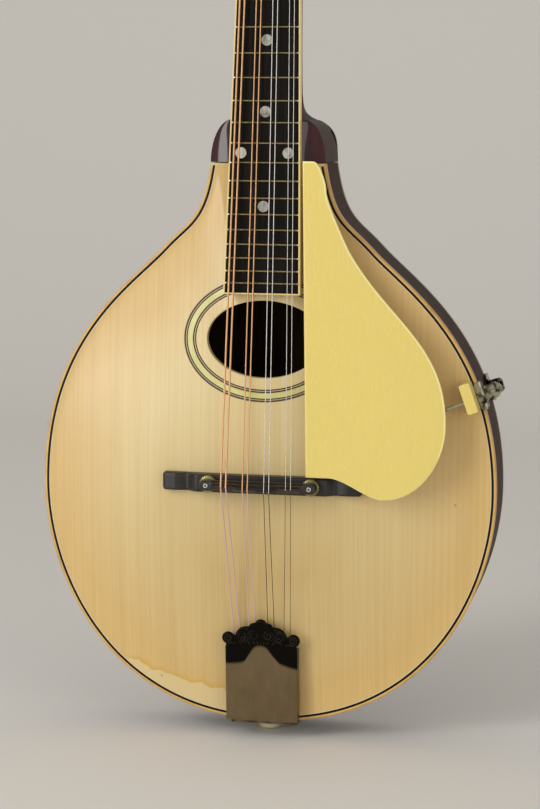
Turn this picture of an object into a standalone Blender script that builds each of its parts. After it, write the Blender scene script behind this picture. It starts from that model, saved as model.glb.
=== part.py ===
"""A-style mandolin with carved plates, an oval soundhole and a raised pickguard.

Metres. The origin is on the fingerboard's surface at the nut, in the middle. +Z runs up the
neck, +X is the treble side and the front of the instrument faces -Y.
"""

import math

import bmesh
import bpy
import numpy as np
from mathutils import Matrix, Vector
from mathutils.geometry import interpolate_bezier

CLEAR = 0.0003

# Scale, fingerboard and neck
SCALE_LENGTH = 0.3537
FRET_COUNT = 20
BODY_FRET = 12
NUT_WIDTH = 0.0320
NUT_THICKNESS = 0.0050
BOARD_END_WIDTH = 0.0426
BOARD_PAST_LAST_FRET = 0.0062
BOARD_THICKNESS = 0.0048
BOARD_BINDING = 0.0013
FRET_WIDTH = 0.0020
FRET_HEIGHT = 0.0010
FRET_INSET = 0.0004
NECK_ANGLE = math.radians(4.93)
NUT_SETBACK = 0.0047
NECK_DEPTH_AT_NUT = 0.0150
NECK_DEPTH_AT_HEEL = 0.0175
HEEL_START = 0.0380
HEEL_CAP_LENGTH = 0.0248
HEEL_CAP_THICKNESS = 0.0015
HEEL_CAP_INSET = 0.0006
EXTENSION_SHORT_OF_BOARD = 0.0045
EXTENSION_INSET = 0.0006
TENON_WIDTH = 0.0180
TENON_FLARE = 0.0040
TENON_LENGTH = 0.0150
TENON_DEPTH = 0.0260

# Body
SHOULDER_WIDTH = 0.0642
BODY_WIDTH = 0.2570
BODY_LENGTH = 0.3134
WIDEST_BELOW_JOINT = 0.1804
WAIST_WIDTH = 0.1184
WAIST_BELOW_JOINT = 0.0469
WAIST_ANGLE = math.radians(43.0)
SHOULDER_ANGLE = math.radians(8.6)
RIM_DEPTH = 0.0425
RIM_WALL = 0.0020
PLATE_THICKNESS = 0.0040
TOP_ARCH = 0.0120
BACK_ARCH = 0.0110
ARCH_FULLNESS = 2.2
ARCH_RECURVE = 1.3
ARCH_CENTRE_SHARE = 0.539
BINDING_WIDTH = 0.0020
BACK_BINDING_WIDTH = 0.0014
PURFLING_WIDTH = 0.0019
PURFLING_DEPTH = 0.0014
LINING_WIDTH = 0.0050
LINING_DEPTH = 0.0060
HEAD_BLOCK_LENGTH = 0.0300
TAIL_BLOCK_WIDTH = 0.0560
TAIL_BLOCK_LENGTH = 0.0160
BRACE_WIDTH = 0.0070
BRACE_HEIGHT = 0.0080
BRACE_BELOW_HOLE = 0.0150

# Soundhole and rosette
HOLE_WIDTH = 0.0644
HOLE_LENGTH = 0.0423
HOLE_BELOW_JOINT = 0.0962
ROSETTE_INSET = 0.0064
ROSETTE_WIDTH = 0.0070
ROSETTE_THICKNESS = 0.0012

# Strings, as four courses from bass to treble
STRING_DIAMETERS = (0.00107, 0.00076, 0.00048, 0.00036)
NUT_COURSES = (-0.0122, -0.00405, 0.00405, 0.0122)
BRIDGE_COURSES = (-0.0180, -0.00595, 0.00595, 0.0180)
TAIL_COURSES = (-0.01375, -0.00525, 0.00525, 0.01375)
NUT_PAIR = 0.0026
BRIDGE_PAIR = 0.0028
TAIL_PAIR = 0.0037
NUT_ACTION = 0.0013
BRIDGE_ACTION = 0.0034
COMPENSATION = (0.0003, 0.0016, 0.0028, 0.0006)
WINDING_TURNS = 2
WINDING_GAP = 0.0005
WINDING_POINTS = 8

# Bridge
BRIDGE_LENGTH = 0.1120
BRIDGE_WIDTH = 0.0100
BRIDGE_BASE_HEIGHT = 0.0062
BRIDGE_WING_HEIGHT = 0.0052
BRIDGE_SCOOP_HEIGHT = 0.0034
POST_SPACING = 0.0576
BRIDGE_POST_SEAT = 0.0040
POST_DIAMETER = 0.0032
THUMBWHEEL_DIAMETER = 0.0098
THUMBWHEEL_THICKNESS = 0.0024
THUMBWHEEL_NOTCHES = 12
SADDLE_LENGTH = 0.0654
SADDLE_WIDTH = 0.0056
SADDLE_LOBE_HEIGHT = 0.0048
SADDLE_CREST = 0.0015
SADDLE_CREST_WIDTH = 0.0016

# Tailpiece and end pin
TAIL_WIDTH = 0.0410
TAIL_COVER_SIDES = 0.0420
TAIL_COVER_LENGTH = 0.0479
TAIL_COVER_PAST_RIM = -0.0020
TAIL_COVER_THICKNESS = 0.0007
TAIL_COVER_WALL = 0.0062
TAIL_COVER_HEIGHT = 0.0083
TAIL_COVER_LEAN = math.radians(1.9)
CREST_LOBE_RADIUS = 0.0036
CREST_LOBE_INSET = 0.0020
CREST_RISE = 0.0115
CREST_STEPS = (
    (0.700, 0.13),
    (0.615, 0.38),
    (0.490, 0.55),
    (0.350, 0.60),
    (0.275, 0.77),
    (0.165, 0.84),
    (0.090, 0.95),
    (0.000, 1.00),
)
TAIL_BASE_THICKNESS = 0.0010
TAIL_BASE_LENGTH = 0.0400
TAIL_SKIRT = 0.0250
HOOK_SIZE = 0.0014
HOOK_HEIGHT = 0.0026
END_PIN_DEPTH = 0.0165
END_PIN_HEAD = 0.0132
END_PIN_NECK = 0.0070
END_PIN_HEAD_LENGTH = 0.0062
END_PIN_SHANK_LENGTH = 0.0180

# Pickguard and its clamp
GUARD_THICKNESS = 0.0020
GUARD_OVER_BOARD = 0.0005
GUARD_UNDER_BOARD_LINE = 0.0022
GUARD_ABOVE_JOINT = 0.0010
GUARD_FOOT = (0.0389, 0.0060)
GUARD_TOE = (0.0689, -0.0049)
GUARD_BELLY = (0.1023, 0.0353)
GUARD_WAIST = (0.0476, -0.0470)
GUARD_WAIST_ANGLE = math.radians(30.8)
GUARD_NECK = (0.0344, -0.0152)
GUARD_NECK_BEND = 0.0060
GUARD_CORNER = (0.0272, 0.0009)
GUARD_STEPS = (5, 6, 9, 5, 4)
GUARD_TO_BOARD = 0.0013
GUARD_TO_STRINGS = 0.0085
GUARD_LUG_LENGTH = 0.0045
GUARD_LUG_WIDTH = 0.0036
GUARD_LUG_HEIGHT = 0.0030
GUARD_PIN_DIAMETER = 0.0012
GUARD_PIN_BELOW_JOINT = 0.0120
GUARD_PIN_IN_BOARD = 0.0028
CLAMP_BELOW_JOINT = 0.1248
CLAMP_WIDTH = 0.0160
CLAMP_SHEET = 0.0010
CLAMP_LIP = 0.0023
CLAMP_WALL = 0.0090
CLAMP_LUG = 0.0062
CLAMP_LUG_WIDTH = 0.0080
CLAMP_SCREW_DIAMETER = 0.0024
CLAMP_NUT_DIAMETER = 0.0080
CLAMP_NUT_LENGTH = 0.0080
CLAMP_NUT_FLUTES = 12
GUARD_BLOCK_WIDTH = 0.0060
GUARD_BLOCK_LENGTH = 0.0168
GUARD_BLOCK_HEIGHT = 0.0134
GUARD_BLOCK_OFFSET = 0.0015
GUARD_ROD_DIAMETER = 0.0020
GUARD_ROD_REACH = 0.0220
GUARD_ROD_IN_BLOCK = 0.0030
GUARD_ROD_BELOW_BLOCK_TOP = 0.0022

# Headstock and tuners
HEAD_ANGLE = math.radians(15.0)
HEAD_LENGTH = 0.1440
HEAD_WIDTH = 0.0730
HEAD_EAR_WIDTH = 0.0620
HEAD_EAR_HEIGHT = 0.0260
HEAD_THICKNESS = 0.0125
VENEER_THICKNESS = 0.0020
TUNER_ROW = 0.0240
FIRST_TUNER = 0.0360
TUNER_SPACING = 0.0235
POST_RADIUS = 0.0030
POST_HEIGHT = 0.0110
STRING_HOLE_RADIUS = 0.0008
STRING_HOLE_HEIGHT = 0.0048
PLATE_WIDTH = 0.0140
PLATE_SHEET = 0.0010
PLATE_MARGIN = 0.0110
GEAR_TEETH = 14
GEAR_RADIUS = 0.0050
GEAR_WIDTH = 0.0026
GEAR_STAND_OFF = 0.0026
TOOTH_HEIGHT = 0.0012
TOOTH_SHARE = 0.34
WORM_RADIUS = 0.0024
WORM_TURNS = 2.4
WORM_STEPS = 8
MESH_PLAY = 0.0002
KEY_SHAFT_RADIUS = 0.0012
KEY_SHAFT_LENGTH = 0.0210
BUTTON_LENGTH = 0.0150
BUTTON_WIDTH = 0.0052
BUTTON_REACH = 0.0110
EAR_SHEET = 0.0011
EAR_WIDTH = 0.0052

OUTLINE_STEPS = (7, 9, 11)
OVAL_POINTS = 36

GEAR_PITCH = math.tau * GEAR_RADIUS / GEAR_TEETH
JOINT_Z = -SCALE_LENGTH * (1 - 2 ** (-BODY_FRET / 12)) * math.cos(NECK_ANGLE)
BRIDGE_Z = -SCALE_LENGTH * math.cos(NECK_ANGLE)
TOP_Y = -NUT_SETBACK
BACK_Y = TOP_Y + RIM_DEPTH
BODY_Z = JOINT_Z - CLEAR
TAIL_Z = BODY_Z - BODY_LENGTH
BOARD_LENGTH = SCALE_LENGTH * (1 - 2 ** (-FRET_COUNT / 12)) + BOARD_PAST_LAST_FRET
HEAD_START = NUT_THICKNESS + CLEAR

NECK_FRAME = Matrix.Rotation(-NECK_ANGLE, 4, "X")
HEAD_FRAME = (
    NECK_FRAME
    @ Matrix.Translation((0, BOARD_THICKNESS + CLEAR, HEAD_START))
    @ Matrix.Rotation(-HEAD_ANGLE, 4, "X")
)

PARTS = bpy.data.collections.new("a_style_mandolin")
CUTTERS = bpy.data.collections.new("cutters")
FINISHES = {
    "spruce": ((0.80, 0.66, 0.40), 0.35, 0.0),
    "maple_back": ((0.32, 0.13, 0.07), 0.25, 0.0),
    "rim_wood": ((0.16, 0.07, 0.05), 0.25, 0.0),
    "mahogany": ((0.20, 0.04, 0.03), 0.22, 0.0),
    "inner_wood": ((0.62, 0.48, 0.32), 0.6, 0.0),
    "ebony": ((0.03, 0.025, 0.02), 0.35, 0.0),
    "ivoroid": ((0.82, 0.70, 0.40), 0.3, 0.0),
    "celluloid": ((0.85, 0.75, 0.38), 0.2, 0.0),
    "bone": ((0.85, 0.80, 0.68), 0.4, 0.0),
    "black_line": ((0.04, 0.03, 0.03), 0.4, 0.0),
    "nickel": ((0.55, 0.52, 0.46), 0.25, 1.0),
    "brass": ((0.60, 0.50, 0.28), 0.3, 1.0),
    "bronze": ((0.72, 0.48, 0.28), 0.3, 1.0),
    "steel": ((0.72, 0.71, 0.68), 0.25, 1.0),
}


# Helpers


def clear_scene():
    for obj in list(bpy.data.objects):
        bpy.data.objects.remove(obj, do_unlink=True)
    for collection in (PARTS, CUTTERS):
        bpy.context.scene.collection.children.link(collection)


def finish(name):
    """The Principled material of a finish, made once."""
    material = bpy.data.materials.get(name) or bpy.data.materials.new(name)
    colour, roughness, metallic = FINISHES[name]
    material.use_nodes = True
    shader = material.node_tree.nodes["Principled BSDF"]
    shader.inputs["Base Color"].default_value = (*colour, 1)
    shader.inputs["Roughness"].default_value = roughness
    shader.inputs["Metallic"].default_value = metallic
    return material


def add_object(name, data, look, frame=None):
    """A part from a mesh, placed by a matrix."""
    obj = bpy.data.objects.new(name, data)
    data.materials.clear()
    data.materials.append(finish(look))
    if frame is not None:
        obj.matrix_world = frame
    PARTS.objects.link(obj)
    return obj


def add_cutter(name, data, frame=None):
    obj = bpy.data.objects.new(name, data)
    if frame is not None:
        obj.matrix_world = frame
    obj.hide_render = True
    obj.display_type = "WIRE"
    CUTTERS.objects.link(obj)
    return obj


def to_mesh(bm, name, smooth=False):
    """Closes a bmesh into a mesh with its faces pointing out."""
    bmesh.ops.recalc_face_normals(bm, faces=bm.faces)
    mesh = bpy.data.meshes.new(name)
    bm.to_mesh(mesh)
    bm.free()
    if smooth:
        mesh.shade_smooth()
        mesh.set_sharp_from_angle(angle=math.radians(35))
    return mesh


def boolean(obj, other, operation):
    modifier = obj.modifiers.new(f"{operation.lower()} {other.name}", "BOOLEAN")
    modifier.operation = operation
    modifier.object = other
    modifier.solver = "EXACT"
    return modifier


def add_box(bm, low, high):
    """An axis-aligned box between two corners."""
    low, high = Vector(low), Vector(high)
    size = Matrix.Diagonal((*(high - low), 1))
    bmesh.ops.create_cube(bm, size=1, matrix=Matrix.Translation((low + high) / 2) @ size)


def box_mesh(name, *pairs):
    bm = bmesh.new()
    for low, high in pairs:
        add_box(bm, low, high)
    return to_mesh(bm, name)


def add_rod(bm, start, end, radius, sides=12, end_radius=None):
    """A cylinder or cone from one point to another."""
    start, end = Vector(start), Vector(end)
    turn = (end - start).to_track_quat("Z", "Y").to_matrix().to_4x4()
    bmesh.ops.create_cone(
        bm,
        cap_ends=True,
        segments=sides,
        radius1=radius,
        radius2=radius if end_radius is None else end_radius,
        depth=(end - start).length,
        matrix=Matrix.Translation((start + end) / 2) @ turn,
    )


def rod_mesh(name, *rods, sides=12):
    bm = bmesh.new()
    for start, end, radius in rods:
        add_rod(bm, start, end, radius, sides)
    return to_mesh(bm, name, smooth=True)


def skin(bm, loops, start_point=None, end_point=None, ring=False):
    """Lofts a surface through loops of equal count. The ends close on a point or as a flat face,
    and a ring's last loop joins its first."""
    rows = [[bm.verts.new(point) for point in loop] for loop in loops]
    pairs = list(zip(rows, rows[1:]))
    if ring:
        pairs.append((rows[-1], rows[0]))
    count = len(rows[0])
    for low, high in pairs:
        for i in range(count):
            j = (i + 1) % count
            bm.faces.new((low[i], low[j], high[j], high[i]))
    if ring:
        return
    for row, point in ((rows[0], start_point), (rows[-1], end_point)):
        if point is None:
            bm.faces.new(row)
            continue
        tip = bm.verts.new(point)
        for i in range(count):
            bm.faces.new((row[i], row[(i + 1) % count], tip))


def flat_mesh(name, points, low_y, high_y, smooth=False):
    """An outline in X and Z, given thickness from low_y to high_y."""
    bm = bmesh.new()
    skin(bm, [[(x, y, z) for x, z in points] for y in (low_y, high_y)])
    return to_mesh(bm, name, smooth)


def inset(points, distance):
    """Moves a closed outline inwards by a distance, with mitred corners."""
    points = np.asarray(points)
    edge = np.roll(points, -1, axis=0) - points
    normal = np.stack([-edge[:, 1], edge[:, 0]], 1) / np.linalg.norm(edge, axis=1)[:, None]
    before = np.roll(normal, 1, axis=0)
    area = np.sum(points[:, 0] * np.roll(points[:, 1], -1) - points[:, 1] * np.roll(points[:, 0], -1))
    mitre = (before + normal) / (1 + np.sum(before * normal, axis=1))[:, None]
    return points + math.copysign(1, area) * distance * mitre


def curve_points(anchors, counts):
    """Points along Bezier stretches. An anchor is its point, its handle back and its handle on."""
    points = []
    for (a, _, a_on), (b, b_back, _), count in zip(anchors, anchors[1:], counts):
        stretch = interpolate_bezier(
            Vector((*a, 0)), Vector((*a_on, 0)), Vector((*b_back, 0)), Vector((*b, 0)), count
        )
        points += [(p.x, p.y) for p in stretch[1 if points else 0 :]]
    return points


def polar(direction, length):
    """An offset in X and Z, at an angle out from straight down."""
    return np.array([math.sin(direction), -math.cos(direction)]) * length


# Body outline and arching


def body_outline():
    """The body's plan in X and Z, from the bottom up the treble side and down the bass side."""
    shoulder = np.array([SHOULDER_WIDTH / 2, BODY_Z])
    waist = np.array([WAIST_WIDTH / 2, BODY_Z - WAIST_BELOW_JOINT])
    widest = np.array([BODY_WIDTH / 2, BODY_Z - WIDEST_BELOW_JOINT])
    bottom = np.array([0.0, TAIL_Z])
    lower = widest[1] - bottom[1]
    anchors = [
        (shoulder, shoulder, shoulder + polar(SHOULDER_ANGLE, 0.70 * WAIST_BELOW_JOINT)),
        (
            waist,
            waist - polar(WAIST_ANGLE, 0.455 * WAIST_BELOW_JOINT),
            waist + polar(WAIST_ANGLE, 0.20 * (waist[1] - widest[1])),
        ),
        (
            widest,
            widest + np.array([0, 0.62 * (waist[1] - widest[1])]),
            widest - np.array([0, 0.42 * lower]),
        ),
        (bottom, bottom + np.array([0.709 * widest[0], 0]), bottom),
    ]
    right = curve_points(anchors, OUTLINE_STEPS)
    left = [(-x, z) for x, z in right[-2::-1]]
    across = [(x, BODY_Z) for x in np.linspace(-0.5, 0.5, 5)[1:-1] * SHOULDER_WIDTH]
    return np.array(right + left + across)


OUTLINE = body_outline()
ARCH_CENTRE = np.array([0.0, BODY_Z - ARCH_CENTRE_SHARE * BODY_LENGTH])


def arch_share(points, outline):
    """How far out each point lies from the arch's centre, where 1 is the outline."""
    points = np.atleast_2d(points) - ARCH_CENTRE
    start = outline - ARCH_CENTRE
    edge = np.roll(start, -1, axis=0) - start
    cross = points[:, None, 0] * edge[None, :, 1] - points[:, None, 1] * edge[None, :, 0]
    cross = np.where(np.abs(cross) < 1e-12, 1e-12, cross)
    reach = (start[:, 0] * edge[:, 1] - start[:, 1] * edge[:, 0])[None] / cross
    along = (start[None, :, 0] * points[:, None, 1] - start[None, :, 1] * points[:, None, 0]) / cross
    hit = (reach > 0) & (along > -1e-6) & (along < 1 + 1e-6)
    return 1 / np.where(hit, reach, np.inf).min(axis=1)


def arch_rise(share, arch):
    """The carved arch: full in the middle, with a recurve near the edge."""
    share = np.clip(share, 0, 1)
    return arch * (1 - share**ARCH_FULLNESS) ** ARCH_RECURVE


ARCH_RINGS = (0.97, 0.91, 0.82, 0.69, 0.53, 0.30)
INNER_RINGS = (0.92, 0.78, 0.58, 0.32)


def ringed_rise(share, arch):
    """The arch as its rings give it, straight between them."""
    stops = np.array((0.0, *ARCH_RINGS[::-1], 1.0))
    return np.interp(share, stops, arch_rise(stops, arch))


TOP_EDGE = inset(OUTLINE, BINDING_WIDTH + PURFLING_WIDTH + 2 * CLEAR)


def top_depth(x, z):
    """The soundboard's outer surface in Y, over a point in X and Z."""
    share = arch_share([(x, z)], TOP_EDGE)[0]
    return TOP_Y - ringed_rise(share, TOP_ARCH)


def tail_base_rise():
    """How far the tailpiece's base plate climbs along its length to stay just over the arch."""
    shares = np.linspace(0.1, 1, 10)
    rises = [TOP_Y - top_depth(0, TAIL_Z - CLEAR + share * TAIL_BASE_LENGTH) for share in shares]
    return CLEAR + float(np.max(rises / shares))


TAIL_BASE_RISE = tail_base_rise()
TAIL_COVER_TILT = math.atan(TAIL_BASE_RISE / TAIL_BASE_LENGTH) - TAIL_COVER_LEAN


def loop_at(points, y):
    return [(x, y, z) for x, z in points]


def scaled_ring(outline, share):
    return ARCH_CENTRE + (outline - ARCH_CENTRE) * share


def arched_plate(name, look, edge_y, outward, arch, binding, purfling):
    """A carved plate as one skin: out over its arch, down its edge with the purfling's ledge,
    and back under it. outward is -1 for the top and 1 for the back."""
    edge = inset(OUTLINE, binding + CLEAR)
    face = inset(OUTLINE, binding + purfling + 2 * CLEAR) if purfling else edge
    loops = []
    for share in ARCH_RINGS[::-1]:
        rise = arch_rise(share, arch)
        loops.append(loop_at(scaled_ring(face, share), edge_y + outward * rise))
    loops.append(loop_at(face, edge_y))
    if purfling:
        ledge = edge_y - outward * (PURFLING_DEPTH + CLEAR)
        loops += [loop_at(face, ledge), loop_at(edge, ledge)]
    inner_y = edge_y - outward * PLATE_THICKNESS
    loops += [loop_at(edge, inner_y)]
    for share in INNER_RINGS:
        rise = arch_rise(share, arch)
        loops.append(loop_at(scaled_ring(face, share), inner_y + outward * rise))
    bm = bmesh.new()
    centre = (ARCH_CENTRE[0], edge_y + outward * arch, ARCH_CENTRE[1])
    under = (ARCH_CENTRE[0], inner_y + outward * arch, ARCH_CENTRE[1])
    skin(bm, loops, start_point=centre, end_point=under)
    return add_object(name, to_mesh(bm, name, smooth=True), look)


def under_arch_cutter():
    """Everything behind the soundboard's surface, with the clearance to what rests on it."""
    edge = inset(OUTLINE, -2 * CLEAR)
    loops = []
    for share in ARCH_RINGS[::-1]:
        rise = arch_rise(share, TOP_ARCH)
        loops.append(loop_at(scaled_ring(TOP_EDGE, share), TOP_Y - CLEAR - rise))
    deep = TOP_Y + RIM_DEPTH / 2
    loops += [
        loop_at(TOP_EDGE, TOP_Y - CLEAR),
        loop_at(edge, TOP_Y - CLEAR),
        loop_at(edge, deep),
    ]
    bm = bmesh.new()
    centre = (ARCH_CENTRE[0], TOP_Y - CLEAR - TOP_ARCH, ARCH_CENTRE[1])
    skin(bm, loops, start_point=centre, end_point=(ARCH_CENTRE[0], deep, ARCH_CENTRE[1]))
    return add_cutter("under_arch", to_mesh(bm, "under_arch"))


def edge_ring(name, look, gap, width, low_y, high_y):
    """A strip that follows the whole outline: a wall given its width by Solidify."""
    bm = bmesh.new()
    outline = inset(OUTLINE, gap)
    skin(bm, [loop_at(outline, low_y), loop_at(outline, high_y)])
    caps = [face for face in bm.faces if len(face.verts) > 4]
    bmesh.ops.delete(bm, geom=caps, context="FACES")
    return walled(name, look, bm, width)


def walled(name, look, bm, width):
    """Turns an open wall into a solid strip, grown inwards from its outer face."""
    bmesh.ops.recalc_face_normals(bm, faces=bm.faces)
    mesh = bpy.data.meshes.new(name)
    bm.to_mesh(mesh)
    bm.free()
    obj = add_object(name, mesh, look)
    wall = obj.modifiers.new("wall", "SOLIDIFY")
    wall.thickness = width
    wall.offset = -1
    wall.use_even_offset = True
    return obj


def open_wall(bm, path, low_y, high_y):
    """A wall along an open path in X and Z."""
    rows = [[bm.verts.new((x, y, z)) for x, z in path] for y in (low_y, high_y)]
    for i in range(len(path) - 1):
        bm.faces.new((rows[0][i], rows[0][i + 1], rows[1][i + 1], rows[1][i]))


def around_body(gap):
    """The outline without its straight top edge, from the bass shoulder to the treble one."""
    outline = inset(OUTLINE, gap)
    half = sum(OUTLINE_STEPS) - len(OUTLINE_STEPS)
    right = outline[: half + 1]
    left = outline[half : 2 * half + 1]
    return [tuple(p) for p in left[::-1]] + [tuple(p) for p in right[::-1][1:]]


def oval_ring(name, grow_in, grow_out, above, below):
    """A ring round the soundhole that follows the arch."""
    loops = []
    for grow, offset in ((grow_out, above), (grow_out, below), (grow_in, below), (grow_in, above)):
        loop = []
        for i in range(OVAL_POINTS):
            angle = math.tau * i / OVAL_POINTS
            x = (HOLE_WIDTH / 2 + grow) * math.cos(angle)
            z = BODY_Z - HOLE_BELOW_JOINT + (HOLE_LENGTH / 2 + grow) * math.sin(angle)
            loop.append((x, top_depth(x, z) + offset, z))
        loops.append(loop)
    bm = bmesh.new()
    skin(bm, loops, ring=True)
    return to_mesh(bm, name)


def oval_prism(name, grow, low_y, high_y):
    bm = bmesh.new()
    add_rod(bm, (0, 0, 0), (0, high_y - low_y, 0), 1, sides=OVAL_POINTS)
    size = Matrix.Diagonal((HOLE_WIDTH / 2 + grow, 1, HOLE_LENGTH / 2 + grow, 1))
    place = Matrix.Translation((0, low_y, BODY_Z - HOLE_BELOW_JOINT))
    bm.transform(place @ size)
    return add_cutter(name, to_mesh(bm, name))


# Body parts


def make_body():
    soundboard = arched_plate(
        "soundboard", "spruce", TOP_Y, -1, TOP_ARCH, BINDING_WIDTH, PURFLING_WIDTH
    )
    boolean(soundboard, oval_prism("soundhole", 0, TOP_Y - 0.03, TOP_Y + 0.02), "DIFFERENCE")
    groove = oval_ring(
        "rosette_groove",
        ROSETTE_INSET - CLEAR,
        ROSETTE_INSET + ROSETTE_WIDTH + CLEAR,
        -0.002,
        ROSETTE_THICKNESS + CLEAR,
    )
    boolean(soundboard, add_cutter("rosette_groove", groove), "DIFFERENCE")
    rosette = oval_ring("rosette", ROSETTE_INSET, ROSETTE_INSET + ROSETTE_WIDTH, 0, ROSETTE_THICKNESS)
    add_object("rosette", rosette, "ivoroid")
    arched_plate("back_plate", "maple_back", BACK_Y, 1, BACK_ARCH, BACK_BINDING_WIDTH, 0)

    edge_ring("top_binding", "ivoroid", 0, BINDING_WIDTH, TOP_Y, TOP_Y + PLATE_THICKNESS)
    edge_ring(
        "top_purfling",
        "black_line",
        BINDING_WIDTH + CLEAR,
        PURFLING_WIDTH,
        TOP_Y,
        TOP_Y + PURFLING_DEPTH,
    )
    edge_ring("back_binding", "ivoroid", 0, BACK_BINDING_WIDTH, BACK_Y - PLATE_THICKNESS, BACK_Y)

    rim_low = TOP_Y + PLATE_THICKNESS + CLEAR
    rim_high = BACK_Y - PLATE_THICKNESS - CLEAR
    bm = bmesh.new()
    open_wall(bm, around_body(0), rim_low, rim_high)
    walled("rim", "rim_wood", bm, RIM_WALL)

    blocks = box_mesh(
        "head_block_room",
        (
            (-SHOULDER_WIDTH, TOP_Y, BODY_Z - HEAD_BLOCK_LENGTH - CLEAR),
            (SHOULDER_WIDTH, BACK_Y, BODY_Z + 0.01),
        ),
    )
    room = add_cutter("head_block_room", blocks)
    for name, low, high in (
        ("top_lining", rim_low, rim_low + LINING_DEPTH),
        ("back_lining", rim_high - LINING_DEPTH, rim_high),
    ):
        strip = edge_ring(name, "inner_wood", RIM_WALL + CLEAR, LINING_WIDTH, low, high)
        boolean(strip, room, "DIFFERENCE")

    inner = inset(OUTLINE, RIM_WALL + CLEAR)
    block = add_object(
        "head_block", flat_mesh("head_block", inner, rim_low, rim_high), "inner_wood"
    )
    keep = box_mesh(
        "head_block_keep",
        ((-SHOULDER_WIDTH, TOP_Y, BODY_Z - HEAD_BLOCK_LENGTH), (SHOULDER_WIDTH, BACK_Y, BODY_Z)),
    )
    boolean(block, add_cutter("head_block_keep", keep), "INTERSECT")
    boolean(block, add_cutter("tenon_slot", tenon_mesh(CLEAR)), "DIFFERENCE")

    tail = box_mesh(
        "tail_block",
        (
            (-TAIL_BLOCK_WIDTH / 2, rim_low + LINING_DEPTH + CLEAR, TAIL_Z - 0.01),
            (
                TAIL_BLOCK_WIDTH / 2,
                rim_high - LINING_DEPTH - CLEAR,
                TAIL_Z + RIM_WALL + TAIL_BLOCK_LENGTH,
            ),
        ),
    )
    tail_block = add_object("tail_block", tail, "inner_wood")
    inside = flat_mesh("inside_rim", inner, TOP_Y, BACK_Y)
    boolean(tail_block, add_cutter("inside_rim", inside), "INTERSECT")

    pin_room = rod_mesh(
        "end_pin_room",
        (
            (0, TOP_Y + END_PIN_DEPTH, TAIL_Z - 0.01),
            (0, TOP_Y + END_PIN_DEPTH, TAIL_Z + END_PIN_SHANK_LENGTH + 0.002),
            END_PIN_NECK / 2 + CLEAR,
        ),
        sides=16,
    )
    pin_room = add_cutter("end_pin_room", pin_room)
    for name in ("rim", "tail_block"):
        boolean(bpy.data.objects[name], pin_room, "DIFFERENCE")
    make_brace()


def make_brace():
    """The one transverse brace under the soundboard, below the soundhole."""
    z = BODY_Z - HOLE_BELOW_JOINT - HOLE_LENGTH / 2 - BRACE_BELOW_HOLE
    inner = inset(OUTLINE, RIM_WALL + LINING_WIDTH + 3 * CLEAR)
    reach = max(x for x, row in inner if abs(row - z) < 0.008) - 0.002
    stops = np.linspace(-1, 1, 13) * reach
    half = BRACE_WIDTH / 2
    loops = []
    for x in stops:
        top = max(top_depth(x, z + s) for s in (-half, half)) + PLATE_THICKNESS + CLEAR
        share = 1 - (x / reach) ** 2
        low = top + BRACE_HEIGHT * (0.35 + 0.65 * share)
        foot = 0.4 * half
        corners = ((top, -half), (top, half), (low, foot), (low, -foot))
        loops.append([(x, y, z + across) for y, across in corners])
    bm = bmesh.new()
    skin(bm, loops)
    add_object("soundhole_brace", to_mesh(bm, "soundhole_brace"), "inner_wood")


def make_tailpiece():
    """The bent base plate with its hooks, and the cover that slides off over the tail."""
    outer_z = TAIL_Z - CLEAR
    front = outer_z + TAIL_BASE_LENGTH
    t = TAIL_BASE_THICKNESS
    half = TAIL_WIDTH / 2 - TAIL_COVER_THICKNESS - 3 * CLEAR
    profile = [
        (TOP_Y - TAIL_BASE_RISE - t, front),
        (TOP_Y - CLEAR - t, outer_z - t),
        (TOP_Y + TAIL_SKIRT, outer_z - t),
        (TOP_Y + TAIL_SKIRT, outer_z),
        (TOP_Y - CLEAR, outer_z),
        (TOP_Y - TAIL_BASE_RISE, front),
    ]
    bm = bmesh.new()
    skin(bm, [[(x, y, z) for y, z in profile] for x in (-half, half)])
    base = add_object("tailpiece_base", to_mesh(bm, "tailpiece_base"), "nickel")
    hooks = bmesh.new()
    for x in tail_places():
        skin(hooks, [[(x + s * HOOK_SIZE / 2, y, z) for y, z in hook_profile()] for s in (-1, 1)])
    hook_set = add_cutter("hooks", to_mesh(hooks, "hooks"))
    boolean(base, hook_set, "UNION")
    hole = rod_mesh(
        "tailpiece_pin_hole",
        (
            (0, TOP_Y + END_PIN_DEPTH, TAIL_Z - 0.01),
            (0, TOP_Y + END_PIN_DEPTH, TAIL_Z + 0.001),
            END_PIN_NECK / 2 + CLEAR,
        ),
        sides=16,
    )
    boolean(base, add_cutter("tailpiece_pin_hole", hole), "DIFFERENCE")
    make_cover()
    make_end_pin()


def tail_places():
    return [c + side * TAIL_PAIR / 2 for c in TAIL_COURSES for side in (-1, 1)]


def hook_seat():
    """Where the hooks stand on the base plate, as Y of its face and Z."""
    back = 2 * HOOK_SIZE
    z = TAIL_Z - CLEAR + TAIL_BASE_LENGTH - back
    share = 1 - back / TAIL_BASE_LENGTH
    return TOP_Y - TAIL_BASE_THICKNESS - CLEAR - share * (TAIL_BASE_RISE - CLEAR), z


def hook_profile():
    """A hook in Y and Z: it stands on the base plate and its tip turns towards the tail."""
    y, z = hook_seat()
    half = HOOK_SIZE / 2
    tip = y - HOOK_HEIGHT
    foot = y + TAIL_BASE_THICKNESS / 2
    return [
        (foot, z + half),
        (tip, z + half),
        (tip, z - 3 * half),
        (tip + half, z - 3 * half),
        (tip + half, z - half),
        (foot, z - half),
    ]


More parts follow.
